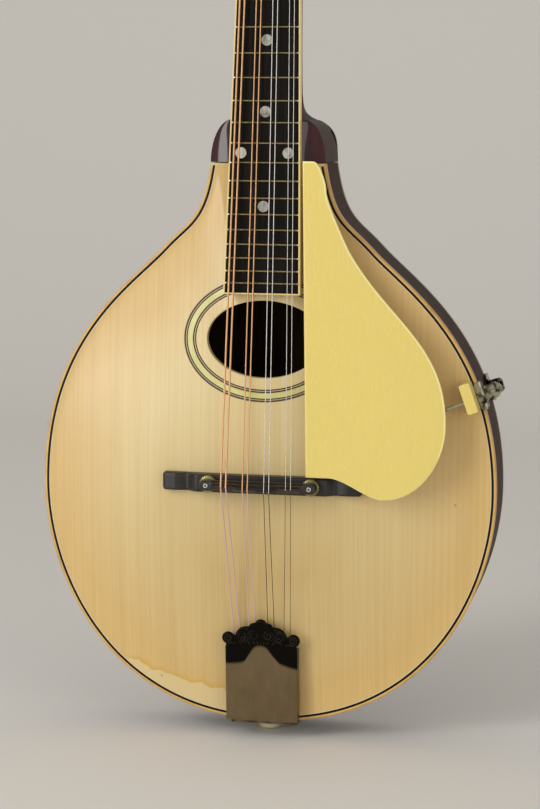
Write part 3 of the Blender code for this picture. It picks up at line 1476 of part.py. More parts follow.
def worm_mesh():
    """The worm and its shaft along X: one pitch of thread carried round by Screw, cut square at
    both ends, with the button's stem joined to it."""
    pitch = GEAR_PITCH
    tip = WORM_RADIUS + TOOTH_HEIGHT / 2 - MESH_PLAY
    root = WORM_RADIUS - TOOTH_HEIGHT / 2 - MESH_PLAY
    flat = pitch * TOOTH_SHARE / 2
    thread = [
        (root, pitch - 1.5 * flat),
        (root, 1.5 * flat),
        (tip, 0.6 * flat),
        (tip, -0.6 * flat),
        (root, -1.5 * flat),
    ]
    mesh = bpy.data.meshes.new("worm_thread")
    mesh.from_pydata([(x, 0, z) for x, z in thread], [(i, i + 1) for i in range(len(thread) - 1)], [])
    obj = bpy.data.objects.new("worm_thread", mesh)
    CUTTERS.objects.link(obj)
    screw = obj.modifiers.new("thread", "SCREW")
    screw.steps = WORM_STEPS
    screw.render_steps = WORM_STEPS
    screw.screw_offset = pitch
    screw.iterations = math.ceil(WORM_TURNS) + 2
    screw.use_merge_vertices = False
    graph = bpy.context.evaluated_depsgraph_get()
    turned_mesh = bpy.data.meshes.new_from_object(obj.evaluated_get(graph))
    bpy.data.objects.remove(obj)
    bm = bmesh.new()
    bm.from_mesh(turned_mesh)
    bmesh.ops.remove_doubles(bm, verts=bm.verts, dist=1e-6)
    middle = pitch * (math.ceil(WORM_TURNS) + 2) / 2
    half = pitch * WORM_TURNS / 2
    for place, side in ((middle - half, -1), (middle + half, 1)):
        everything = list(bm.verts) + list(bm.edges) + list(bm.faces)
        bmesh.ops.bisect_plane(
            bm,
            geom=everything,
            dist=1e-7,
            plane_co=(0, 0, place),
            plane_no=(0, 0, side),
            clear_outer=True,
        )
        cut = [edge for edge in bm.edges if edge.is_boundary]
        rim = [edge for edge in cut if all(abs(v.co.z - place) < 1e-6 for v in edge.verts)]
        bmesh.ops.edgeloop_fill(bm, edges=rim)
    bm.transform(Matrix.Rotation(math.pi / 2, 4, "Y") @ Matrix.Translation((0, 0, -middle)))
    return to_mesh(bm, "worm")


def make_keys(plate_back):
    """The eight worm keys and their posts, in mesh at rest."""
    mesh_gap = GEAR_RADIUS + WORM_RADIUS
    worm_y = plate_back + GEAR_STAND_OFF + 0.0010
    worm = worm_mesh()
    hole_y = -VENEER_THICKNESS - CLEAR - STRING_HOLE_HEIGHT
    for side, course, string, z in tuner_places():
        label = f"{'gdae'[course]}{string + 1}"
        centre = HEAD_FRAME @ Matrix.Translation((side * TUNER_ROW, 0, z))
        phase = math.pi / 2 + (0 if side > 0 else math.pi / GEAR_TEETH)
        post = make_tuner_post(f"tuner_post_{label}", phase + gear_offset(), centre)
        bore = rod_mesh(
            f"string_hole_{label}",
            ((-0.01, hole_y, 0), (0.01, hole_y, 0), STRING_HOLE_RADIUS),
            sides=6,
        )
        boolean(post, add_cutter(f"string_hole_{label}", bore, centre), "DIFFERENCE")

        place = centre @ Matrix.Translation((0, worm_y, -mesh_gap))
        if side < 0:
            place = place @ Matrix.Rotation(math.pi, 4, "Y")
        key = add_object(f"tuner_key_{label}", worm.copy(), "ivoroid", place)
        stem = bmesh.new()
        reach = KEY_SHAFT_LENGTH - BUTTON_REACH
        ear = 0.5 * GEAR_PITCH * WORM_TURNS + CLEAR + EAR_SHEET + 0.0008
        add_rod(stem, (-ear, 0, 0), (BUTTON_REACH + 0.004, 0, 0), KEY_SHAFT_RADIUS, sides=8)
        add_rod(
            stem,
            (BUTTON_REACH, 0, 0),
            (BUTTON_REACH + 0.003, 0, 0),
            KEY_SHAFT_RADIUS + 0.0003,
            sides=8,
            end_radius=0.0030,
        )
        button = Matrix.Translation((BUTTON_REACH + 0.5 * reach, 0, 0)) @ Matrix.Diagonal(
            (0.5 * reach, BUTTON_WIDTH / 2, BUTTON_LENGTH / 2, 1)
        )
        bmesh.ops.create_uvsphere(stem, u_segments=8, v_segments=6, radius=1, matrix=button)
        stem = add_cutter(f"key_stem_{label}", to_mesh(stem, "key_stem"), place)
        joined = boolean(key, stem, "UNION")
        joined.use_self = True


def gear_offset():
    """Turns the worm wheel so that a gap between teeth faces the thread."""
    return math.pi + math.pi / GEAR_TEETH


def make_tuner_plates(plate_back):
    """A plate behind each row, with a pair of ears to carry each worm."""
    worm_y = plate_back + GEAR_STAND_OFF + 0.0010
    mesh_gap = GEAR_RADIUS + WORM_RADIUS
    inner = 0.5 * GEAR_PITCH * WORM_TURNS + CLEAR
    sheet_low = HEAD_THICKNESS + CLEAR
    for side, name in ((-1, "bass"), (1, "treble")):
        rows = [z for s, _, _, z in tuner_places() if s == side]
        x = side * TUNER_ROW
        low = min(rows) - PLATE_MARGIN - mesh_gap / 2
        high = max(rows) + PLATE_MARGIN
        half = PLATE_WIDTH / 2
        plate = box_mesh(
            f"tuner_plate_{name}",
            ((x - half, sheet_low, low), (x + half, sheet_low + PLATE_SHEET, high)),
        )
        plate = add_object(f"tuner_plate_{name}", plate, "nickel", HEAD_FRAME)
        ears = bmesh.new()
        rods = []
        for z in rows:
            worm_z = z - mesh_gap
            for way in (-1, 1):
                near = x + way * inner
                far = x + way * (inner + EAR_SHEET)
                add_box(
                    ears,
                    (min(near, far), sheet_low + PLATE_SHEET / 2, worm_z - EAR_WIDTH / 2),
                    (max(near, far), worm_y + EAR_WIDTH / 2, worm_z + EAR_WIDTH / 2),
                )
            bore = KEY_SHAFT_RADIUS + CLEAR
            rods.append(((x - 0.01, worm_y, worm_z), (x + 0.01, worm_y, worm_z), bore))
        ears = add_cutter(f"worm_ears_{name}", to_mesh(ears, "worm_ears"), HEAD_FRAME)
        boolean(plate, ears, "UNION")
        bores = add_cutter(f"worm_bores_{name}", rod_mesh("worm_bores", *rods, sides=8), HEAD_FRAME)
        boolean(plate, bores, "DIFFERENCE")
        boolean(plate, bpy.data.objects["post_bores"], "DIFFERENCE")


# Strings


def winding_path(side, place, radius):
    """Round the post from the nut's side, turn on turn towards the headstock, and into the
    string hole. The points are in the headstock's frame."""
    hole_y = -VENEER_THICKNESS - CLEAR - STRING_HOLE_HEIGHT
    pitch = 2 * radius + WINDING_GAP
    around = POST_RADIUS + CLEAR + radius
    steps = WINDING_TURNS * WINDING_POINTS
    centre = side * TUNER_ROW
    points = []
    for i in range(steps + 1):
        angle = math.tau * i / WINDING_POINTS
        y = hole_y - pitch * (WINDING_TURNS - i / WINDING_POINTS)
        points.append((centre - side * around * math.cos(angle), y, place + around * math.sin(angle)))
    points.append((centre + side * 0.7 * POST_RADIUS, hole_y, place))
    return points


def make_strings():
    least = []
    for side, course, string, place in tuner_places():
        radius = STRING_DIAMETERS[course] / 2
        nut_x = string_spots(NUT_COURSES, NUT_PAIR, course)[string]
        bridge_x = string_spots(BRIDGE_COURSES, BRIDGE_PAIR, course)[string]
        tail_x = string_spots(TAIL_COURSES, TAIL_PAIR, course)[string]
        contact, bridge_z = saddle_top(course)
        hook_y, hook_z = hook_seat()
        hook_y -= CLEAR + radius
        start = Vector((tail_x, hook_y, hook_z + HOOK_SIZE / 2 + CLEAR + radius))
        saddle = Vector((bridge_x, contact - radius, bridge_z))
        nut_front = NECK_FRAME @ Vector((nut_x, -NUT_ACTION - radius, 0))
        nut_back = NECK_FRAME @ Vector((nut_x, -NUT_ACTION - radius + 0.0001, 0.4 * NUT_THICKNESS))
        winding = [HEAD_FRAME @ Vector(p) for p in winding_path(side, place, radius)]
        points = [start, saddle, nut_front, nut_back] + winding
        least.append(own_gap([HEAD_FRAME.inverted() @ p for p in winding], radius))
        curve = bpy.data.curves.new(f"string_{'gdae'[course]}{string + 1}", "CURVE")
        curve.dimensions = "3D"
        spline = curve.splines.new("POLY")
        spline.points.add(len(points) - 1)
        for spot, point in zip(spline.points, points):
            spot.co = (*point, 1)
        curve.bevel_depth = radius
        curve.bevel_resolution = 1
        curve.use_fill_caps = True
        add_object(curve.name, curve, "bronze" if course < 2 else "steel")
    print(f"least gap of a string's winding to itself: {min(least) * 1000:.2f} mm")


def own_gap(points, radius):
    """The least gap between one turn of a winding and the next, on points between its own."""
    path = np.array([tuple(p) for p in points])
    share = np.linspace(0, len(path) - 1, 12 * len(path))
    fine = np.stack([np.interp(share, range(len(path)), path[:, k]) for k in range(3)], 1)
    far = np.linalg.norm(fine[:, None] - fine[None], axis=2)
    apart = np.abs(share[:, None] - share[None]) > WINDING_POINTS / 2
    return far[apart].min() - 2 * radius


def main():
    clear_scene()
    make_body()
    under_arch = make_neck()
    make_fingerboard()
    make_nut()
    make_bridge(under_arch)
    make_tailpiece()
    make_guard()
    plate_back = HEAD_THICKNESS + PLATE_SHEET + 2 * CLEAR
    make_tuner_plates(plate_back)
    make_keys(plate_back)
    make_strings()


main()
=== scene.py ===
"""Looks of an a-style mandolin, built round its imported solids.

Metres. +Z runs up the neck, +X is the treble side, and the front of the instrument faces -Y.
"""

import math

import bmesh
import bpy
import numpy as np
from mathutils import Matrix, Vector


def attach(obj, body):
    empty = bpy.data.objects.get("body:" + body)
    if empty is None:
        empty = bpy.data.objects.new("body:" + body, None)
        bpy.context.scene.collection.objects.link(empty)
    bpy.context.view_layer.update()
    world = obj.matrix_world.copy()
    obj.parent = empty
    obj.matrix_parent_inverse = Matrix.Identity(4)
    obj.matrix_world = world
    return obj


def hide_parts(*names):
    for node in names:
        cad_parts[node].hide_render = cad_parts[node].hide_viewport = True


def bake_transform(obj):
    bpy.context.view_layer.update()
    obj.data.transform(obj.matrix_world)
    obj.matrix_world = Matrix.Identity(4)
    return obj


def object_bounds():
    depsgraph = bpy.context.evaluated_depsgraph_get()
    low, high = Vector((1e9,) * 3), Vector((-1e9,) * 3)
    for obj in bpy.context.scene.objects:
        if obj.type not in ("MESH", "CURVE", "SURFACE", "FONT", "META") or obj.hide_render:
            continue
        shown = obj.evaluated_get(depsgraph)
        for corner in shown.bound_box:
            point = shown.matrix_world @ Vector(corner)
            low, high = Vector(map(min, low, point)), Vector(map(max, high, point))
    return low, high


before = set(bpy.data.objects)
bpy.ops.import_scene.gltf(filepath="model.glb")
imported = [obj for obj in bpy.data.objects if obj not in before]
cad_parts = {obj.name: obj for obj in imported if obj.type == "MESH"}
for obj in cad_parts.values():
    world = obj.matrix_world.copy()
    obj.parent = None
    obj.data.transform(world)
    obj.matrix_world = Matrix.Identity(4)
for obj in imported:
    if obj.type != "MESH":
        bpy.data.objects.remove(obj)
CAD_BOX = [list(corner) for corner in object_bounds()]

bl_info = {
    "name": "A-style mandolin",
    "version": (1, 0, 0),
    "blender": (4, 5, 0),
    "location": "View3D > Sidebar > Mandolin",
    "description": "Builds the pieces, finishes and studio of a carved mandolin",
    "category": "Add Mesh",
}

# The gap between solids, the hair between finished surfaces, and the body that carries the rest
CLEAR = 0.0003
TOUCH = 0.00002
ROOT = "instrument"

# Scale, fingerboard and neck
SCALE_LENGTH = 0.3537
FRET_COUNT = 20
BODY_FRET = 12
NUT_WIDTH = 0.0320
NUT_THICKNESS = 0.0050
BOARD_END_WIDTH = 0.0426
BOARD_PAST_LAST_FRET = 0.0062
BOARD_THICKNESS = 0.0048
BOARD_BINDING = 0.0009
NECK_ANGLE = math.radians(4.93)
NECK_DEPTH_AT_NUT = 0.0150
NECK_DEPTH_AT_HEEL = 0.0175
NECK_SETBACK = 0.0006
HEEL_WIDTH = 0.0396
HEEL_CAP_LENGTH = 0.0248
SHOULDER_LENGTH = 0.0234
DOTS = ((5, 0), (7, 0), (10, 0), (12, -0.0131), (12, 0.0131), (15, 0))

# Body
TOP_Y = -0.0047
RIM_DEPTH = 0.0425
SHOULDER_WIDTH = 0.0642
BODY_WIDTH = 0.2570
BODY_LENGTH = 0.3134
WIDEST_BELOW_JOINT = 0.1804
WAIST_WIDTH = 0.1184
WAIST_BELOW_JOINT = 0.0469
WAIST_ANGLE = math.radians(43.0)
SHOULDER_ANGLE = math.radians(8.6)
PLATE_THICKNESS = 0.0040
TOP_ARCH = 0.0120
BACK_ARCH = 0.0110
ARCH_FULLNESS = 2.2
ARCH_RECURVE = 1.3
BINDING_WIDTH = 0.0015
BACK_BINDING_WIDTH = 0.0014
RIM_WALL = 0.0020
HOLE_WIDTH = 0.0644
HOLE_LENGTH = 0.0423
HOLE_BELOW_JOINT = 0.0962
ROSETTE_INSET = 0.0064
ROSETTE_WIDTH = 0.0070

# Strings, as four courses from bass to treble
STRING_DIAMETERS = (0.00107, 0.00076, 0.00048, 0.00036)
NUT_COURSES = (-0.0122, -0.00405, 0.00405, 0.0122)
BRIDGE_COURSES = (-0.0180, -0.00595, 0.00595, 0.0180)
TAIL_COURSES = (-0.01375, -0.00525, 0.00525, 0.01375)
NUT_PAIR = 0.0026
BRIDGE_PAIR = 0.0028
TAIL_PAIR = 0.0037
NUT_ACTION = 0.0013
BRIDGE_ACTION = 0.0034
COMPENSATION = (0.0003, 0.0016, 0.0028, 0.0006)

# Bridge
BRIDGE_LENGTH = 0.1120
BRIDGE_WIDTH = 0.0100
BRIDGE_BASE_HEIGHT = 0.0062
BRIDGE_WING_HEIGHT = 0.0052
BRIDGE_SCOOP_HEIGHT = 0.0034
POST_SPACING = 0.0576
POST_DIAMETER = 0.0032
THUMBWHEEL_DIAMETER = 0.0098
THUMBWHEEL_THICKNESS = 0.0024
SADDLE_LENGTH = 0.0654
SADDLE_WIDTH = 0.0056
SADDLE_LOBE_HEIGHT = 0.0048

# Tailpiece and end pin
TAIL_BASE_LENGTH = 0.0400
TAIL_BASE_THICKNESS = 0.0010
TAIL_WIDTH = 0.0410
COVER_SIDES = 0.0420
COVER_LOBES = 0.0479
COVER_WALL = 0.0062
COVER_SHEET = 0.0007
COVER_FOOT = 0.0020
COVER_LIFT = 0.0083
CREST_BELOW_LOBES = 0.0027
HOOK_SIZE = 0.0014
END_PIN_DEPTH = 0.0165

# Pickguard and clamp
GUARD_THICKNESS = 0.0020
BLOCK_WIDTH = 0.0060
BLOCK_LENGTH = 0.0168
BLOCK_HEIGHT = 0.0134
CLAMP_BELOW_JOINT = 0.1248
CLAMP_WALL = 0.0090
CLAMP_LIP = 0.0023
CLAMP_SHEET = 0.0010

# Headstock and tuners
HEAD_ANGLE = math.radians(15.0)
HEAD_LENGTH = 0.1440
HEAD_WIDTH = 0.0730
HEAD_EAR_WIDTH = 0.0620
HEAD_EAR_HEIGHT = 0.0260
HEAD_THICKNESS = 0.0125
VENEER_THICKNESS = 0.0020
TUNER_ROW = 0.0240
FIRST_TUNER = 0.0360
TUNER_SPACING = 0.0235
POST_RADIUS = 0.0030
POST_HEIGHT = 0.0110
STRING_HOLE_HEIGHT = 0.0048
GEAR_TEETH = 14
GEAR_RADIUS = 0.0050
GEAR_WIDTH = 0.0026
TOOTH_HEIGHT = 0.0012
TOOTH_SHARE = 0.34
WORM_RADIUS = 0.0024
WORM_TURNS = 2.4
WORM_LIFT = 0.0036

# Camera: the photograph's frame and focal length in pixels, and the view it was taken from
FRAME_HEIGHT = 809
FOCAL_LENGTH = 2200
VIEWPOINT = (0.2374, -1.19265, -0.1561)
VIEW_YAW = math.radians(11.21)
VIEW_PITCH = math.radians(7.23)
VIEW_ROLL = math.radians(-0.36)

JOINT_Z = -SCALE_LENGTH * (1 - 2 ** (-BODY_FRET / 12)) * math.cos(NECK_ANGLE)
BRIDGE_Z = -SCALE_LENGTH * math.cos(NECK_ANGLE)
BACK_Y = TOP_Y + RIM_DEPTH
BODY_Z = JOINT_Z - CLEAR
TAIL_Z = BODY_Z - BODY_LENGTH
HOLE_Z = BODY_Z - HOLE_BELOW_JOINT
BOARD_LENGTH = SCALE_LENGTH * (1 - 2 ** (-FRET_COUNT / 12)) + BOARD_PAST_LAST_FRET
ARCH_CENTRE = np.array([0.0, BODY_Z - 0.539 * BODY_LENGTH])
PLATE_BACK = HEAD_THICKNESS + 0.0010 + 2 * CLEAR
GEAR_PITCH = math.tau * GEAR_RADIUS / GEAR_TEETH

NECK_FRAME = Matrix.Rotation(-NECK_ANGLE, 4, "X")
HEAD_FRAME = (
    NECK_FRAME
    @ Matrix.Translation((0, BOARD_THICKNESS + CLEAR, NUT_THICKNESS + CLEAR))
    @ Matrix.Rotation(-HEAD_ANGLE, 4, "X")
)


def linear(text):
    """An sRGB hex colour as linear RGBA."""
    values = [int(text[i : i + 2], 16) / 255 for i in (1, 3, 5)]
    return (*[v / 12.92 if v <= 0.04045 else ((v + 0.055) / 1.055) ** 2.4 for v in values], 1.0)


# Arrays


def placed(points, matrix):
    """Points times a matrix: the turned part plus the shift."""
    m = np.array(matrix)
    return np.asarray(points) @ m[:3, :3].T + m[:3, 3]


def woven(x, y, z):
    """Three arrays spread to one shape and joined as points."""
    return np.stack(np.broadcast_arrays(x, y, z), -1)


def upright(points, y):
    """Points in X and Z as X, Y and Z, where y is a number or an array."""
    points = np.asarray(points, float)
    return woven(points[..., 0], y, points[..., 1])


def bezier(start, leave, arrive, end, count):
    """A cubic Bezier: the four points weighted by the Bernstein terms of t from 0 to 1."""
    t = np.linspace(0, 1, count)[:, None]
    start, leave, arrive, end = map(np.asarray, (start, leave, arrive, end))
    return (1 - t) ** 3 * start + 3 * (1 - t) ** 2 * t * leave + 3 * (1 - t) * t**2 * arrive + t**3 * end


def chain(anchors, counts):
    """Bezier stretches end to end. An anchor is its point, its handle back and its handle on."""
    parts = [
        bezier(a, a_on, b_back, b, count)[1:]
        for (a, _, a_on), (b, b_back, _), count in zip(anchors, anchors[1:], counts)
    ]
    return np.concatenate([[np.asarray(anchors[0][0], float)], *parts])


def polar(direction, length):
    """An offset in X and Z: length at an angle out from straight down."""
    return np.array([math.sin(direction), -math.cos(direction)]) * length


def mirrored(right):
    """A half outline followed by itself mirrored in X, without the shared end."""
    return np.concatenate([right, (right * (-1, 1))[-2::-1]])


def inset(points, distance):
    """A closed outline moved inwards: each point goes along the mean of its two edge normals,
    divided so that both edges move by the distance."""
    edge = np.roll(points, -1, axis=0) - points
    normal = np.stack([-edge[:, 1], edge[:, 0]], 1) / np.linalg.norm(edge, axis=1)[:, None]
    before = np.roll(normal, 1, axis=0)
    after = np.roll(points, -1, axis=0)
    area = np.sum(points[:, 0] * after[:, 1] - points[:, 1] * after[:, 0])
    mitre = (before + normal) / (1 + np.sum(before * normal, axis=1))[:, None]
    return points + math.copysign(1, area) * distance * mitre


def eased(stops, rows, at):
    """Rows between given rows: a cubic through each column, whose slope at a stop is the
    harmonic mean of the slopes beside it, or flat where they differ in sign."""
    stops, rows, at = np.asarray(stops, float), np.asarray(rows, float), np.asarray(at)
    step = np.diff(stops)[:, None]
    rise = np.diff(rows, axis=0) / step
    both = rise[:-1] * rise[1:]
    total = rise[:-1] + rise[1:]
    inner = np.where(both > 0, 2 * both / np.where(total, total, 1), 0)
    slope = np.concatenate([rise[:1], inner, rise[-1:]])
    k = np.clip(np.searchsorted(stops, at, side="right") - 1, 0, len(stops) - 2)
    t = ((at - stops[k]) / step[k, 0])[:, None]
    ends = (2 * t**3 - 3 * t**2 + 1) * rows[k] + (3 * t**2 - 2 * t**3) * rows[k + 1]
    return ends + step[k] * ((t**3 - 2 * t**2 + t) * slope[k] + (t**3 - t**2) * slope[k + 1])


def ring(count, radius=1.0):
    """Points round a circle: cosine and sine of even angles."""
    angle = np.arange(count) * math.tau / count
    return radius * np.stack([np.cos(angle), np.sin(angle)], -1)


def rounded(width, height, radius, steps=4):
    """A rectangle whose corners are quarter circles."""
    angle = np.linspace(0, math.pi / 2, steps)
    quarter = radius * np.stack([np.cos(angle), np.sin(angle)], -1)
    corner = quarter + (width / 2 - radius, height / 2 - radius)
    left = (corner * (-1, 1))[::-1]
    return np.concatenate([corner, left, -corner, -left])


def sweep(path, section, facing, size=1.0):
    """A section carried along a path: each row is its point plus the section across and up,
    where across is square to the path and to facing, and up is square to both."""
    path = np.asarray(path, float)
    along = np.gradient(path, axis=0)
    along /= np.linalg.norm(along, axis=1)[:, None]
    across = np.cross(along, facing)
    across /= np.linalg.norm(across, axis=1)[:, None]
    up = np.cross(across, along)
    scaled = np.asarray(section)[None] * np.reshape(size, (-1, 1, 1))
    return path[:, None] + scaled[..., :1] * across[:, None] + scaled[..., 1:] * up[:, None]


def turned(profile, sides=32, matrix=Matrix()):
    """A profile of radius and height turned about Z: radius times cosine and sine, and height."""
    profile = np.asarray(profile, float)
    around = ring(sides)
    flat = profile[:, None, :1] * around[None]
    high = np.broadcast_to(profile[:, None, 1:], (*flat.shape[:2], 1))
    return placed(np.concatenate([flat, high], -1), matrix)


# Shells and pieces


def shell(grid, slot=0, wrap_rows=False, wrap_columns=True, capped=True):
    """A grid of points as a surface of quads. A wrapped side joins its last line to its first,
    and open ends of a tube are capped."""
    grid = np.asarray(grid, float)
    rows, columns = grid.shape[:2]
    i = np.arange(rows if wrap_rows else rows - 1)[:, None]
    j = np.arange(columns if wrap_columns else columns - 1)[None]
    here, below = i * columns, (i + 1) % rows * columns
    beside = (j + 1) % columns
    faces = np.stack([here + j, here + beside, below + beside, below + j], -1).reshape(-1, 4).tolist()
    if capped and not wrap_rows:
        faces.append(np.arange(columns)[::-1].tolist())
        faces.append(np.arange((rows - 1) * columns, rows * columns).tolist())
    return grid.reshape(-1, 3), faces, slot


def slab(outline, levels):
    """A flat piece: its outline at each level of depth and inset, capped at both ends."""
    return shell([upright(inset(outline, far), y) for y, far in levels])


def sheet_levels(front, back, edge=0.0002):
    """Levels of a sheet with small rounded edges."""
    return (
        (front, 2.5 * edge),
        (front, 1.2 * edge),
        (front + 0.3 * edge, 0.4 * edge),
        (front + edge, 0),
        (back - edge, 0),
        (back - 0.3 * edge, 0.4 * edge),
        (back, 1.2 * edge),
        (back, 2.5 * edge),
    )


def build(name, shells, finishes, nodes=(), body=ROOT, matrix=None, sharp=35.0):
    """A piece from closed shells: each one has its doubles merged and its faces turned out, and
    they become one mesh in place. It rides on a body and stands for its CAD nodes."""
    whole = bmesh.new()
    for points, faces, index in shells:
        mesh = bpy.data.meshes.new(name)
        mesh.from_pydata(points if matrix is None else placed(points, matrix), [], faces)
        bm = bmesh.new()
        bm.from_mesh(mesh)
        bmesh.ops.remove_doubles(bm, verts=bm.verts, dist=1e-7)
        bmesh.ops.recalc_face_normals(bm, faces=bm.faces)
        bm.to_mesh(mesh)
        bm.free()
        mesh.polygons.foreach_set("material_index", np.full(len(mesh.polygons), index, np.int32))
        whole.from_mesh(mesh)
        bpy.data.meshes.remove(mesh)
    mesh = bpy.data.meshes.new(name)
    whole.to_mesh(mesh)
    whole.free()
    for item in finishes:
        mesh.materials.append(finish(item))
    mesh.shade_smooth()
    mesh.set_sharp_from_angle(angle=math.radians(sharp))
    obj = bpy.data.objects.new(name, mesh)
    bpy.context.scene.collection.objects.link(obj)
    even = obj.modifiers.new("even shading", "WEIGHTED_NORMAL")
    even.keep_sharp = True
    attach(obj, body)
    if nodes:
        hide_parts(*nodes)
    return obj


def recolour(obj, slot, test):
    """Gives the faces whose centres and normals pass a test another of the piece's materials."""
    faces = obj.data.polygons
    centre, normal = np.empty(len(faces) * 3, np.float32), np.empty(len(faces) * 3, np.float32)
    index = np.empty(len(faces), np.int32)
    faces.foreach_get("center", centre)
    faces.foreach_get("normal", normal)
    faces.foreach_get("material_index", index)
    index[test(centre.reshape(-1, 3), normal.reshape(-1, 3))] = slot
    faces.foreach_set("material_index", index)


def corners(obj):
    """The piece's points as an array."""
    flat = np.empty(len(obj.data.vertices) * 3, np.float32)
    obj.data.vertices.foreach_get("co", flat)
    return flat.reshape(-1, 3).astype(float)


def mark(obj, name, values):
    """Keeps a number for each point of a piece, for its material to read."""
    layer = obj.data.attributes.new(name, "FLOAT", "POINT")
    layer.data.foreach_set("value", np.asarray(values, np.float32))


# Body outline and arching


def body_outline():
    """The body's plan: Bezier stretches down the treble side, mirrored up the bass side, and
    straight across the joint."""
    shoulder = np.array([SHOULDER_WIDTH / 2, BODY_Z])
    waist = np.array([WAIST_WIDTH / 2, BODY_Z - WAIST_BELOW_JOINT])
    widest = np.array([BODY_WIDTH / 2, BODY_Z - WIDEST_BELOW_JOINT])
    bottom = np.array([0.0, TAIL_Z])
    fall, lower = waist[1] - widest[1], widest[1] - bottom[1]
    anchors = [
        (shoulder, shoulder, shoulder + polar(SHOULDER_ANGLE, 0.70 * WAIST_BELOW_JOINT)),
        (
            waist,
            waist - polar(WAIST_ANGLE, 0.455 * WAIST_BELOW_JOINT),
            waist + polar(WAIST_ANGLE, 0.20 * fall),
        ),
        (widest, widest + (0, 0.62 * fall), widest - (0, 0.42 * lower)),
        (bottom, bottom + (0.709 * widest[0], 0), bottom),
    ]
    across = np.linspace(-0.5, 0.5, 17)[1:-1] * SHOULDER_WIDTH
    across = np.stack([across, np.full(len(across), BODY_Z)], -1)
    return np.concatenate([mirrored(chain(anchors, (26, 64, 72))), across])


OUTLINE = body_outline()
TOP_EDGE = inset(OUTLINE, 0.0045)
BACK_EDGE = inset(OUTLINE, BACK_BINDING_WIDTH)


def share_out(x, z, edge):
    """How far out a point lies from the arch's centre: its distance over the edge's distance in
    the same direction."""
    spoke = edge - ARCH_CENTRE
    bearing = np.arctan2(spoke[:, 0], spoke[:, 1])
    order = np.argsort(bearing)
    off_x, off_z = x - ARCH_CENTRE[0], z - ARCH_CENTRE[1]
    reach = np.interp(
        np.arctan2(off_x, off_z),
        bearing[order],
        np.hypot(*spoke[order].T),
        period=math.tau,
    )
    return np.hypot(off_x, off_z) / reach


def arch_rise(share, arch):
    """The carved arch: one minus share to the fullness, raised to the recurve."""
    return arch * (1 - np.clip(share, 0, 1) ** ARCH_FULLNESS) ** ARCH_RECURVE


def top_y(x, z):
    """The soundboard's outer face in Y over X and Z."""
    return TOP_Y - arch_rise(share_out(x, z, TOP_EDGE), TOP_ARCH)


def oval(grow, bearing):
    """The soundhole's ellipse grown by a distance, at given bearings from its middle."""
    a, b = HOLE_WIDTH / 2 + grow, HOLE_LENGTH / 2 + grow
    reach = 1 / np.hypot(np.sin(bearing) / a, np.cos(bearing) / b)
    return np.stack([reach * np.sin(bearing), HOLE_Z + reach * np.cos(bearing)], -1)


def rail(section):
    """A strip round the whole body: the outline inset by each point's first number, at the
    second number in Y."""
    return shell([upright(inset(OUTLINE, far), y) for far, y in section], wrap_rows=True)


def beside(distance):
    """The outline inset at its sides, but only by the binding's width across the joint: there
    the points go back up by the difference, and in along the shoulders' slope."""
    points = inset(OUTLINE, distance)
    joint = OUTLINE[:, 1] > BODY_Z - 1e-6
    lift = np.where(joint, distance - BINDING_WIDTH, 0)
    points[:, 0] *= 1 - lift * math.tan(SHOULDER_ANGLE) / (SHOULDER_WIDTH / 2)
    points[:, 1] += lift
    return points


def side_rail(section, slot=0, offset=beside):
    """A strip from shoulder to shoulder round the tail, open at the joint."""
    count = 2 * int(np.argmin(OUTLINE[:, 1])) + 1
    return shell(np.stack([upright(offset(far)[:count], y) for far, y in section], 1), slot)


def strip(near, far, front, back, edge=0.0001):
    """The section of a strip with small rounded front corners, as insets and depths."""
    return (
        (near, back),
        (near, front + edge),
        (near + 0.3 * edge, front + 0.3 * edge),
        (near + edge, front),
        (far - edge, front),
        (far - 0.3 * edge, front + 0.3 * edge),
        (far, front + edge),
        (far, back),
    )


# Neck and headstock


def board_half(distance):
    """Half the fingerboard's width at a distance from the nut."""
    return (NUT_WIDTH + (BOARD_END_WIDTH - NUT_WIDTH) * distance / BOARD_LENGTH) / 2


def seat_y(z):
    """The neck's plane under the fingerboard."""
    return z * math.tan(NECK_ANGLE) + (BOARD_THICKNESS + CLEAR) / math.cos(NECK_ANGLE)


def fret_at(number):
    """A fret's distance from the nut in equal temperament."""
    return SCALE_LENGTH * (1 - 2 ** (-number / 12))


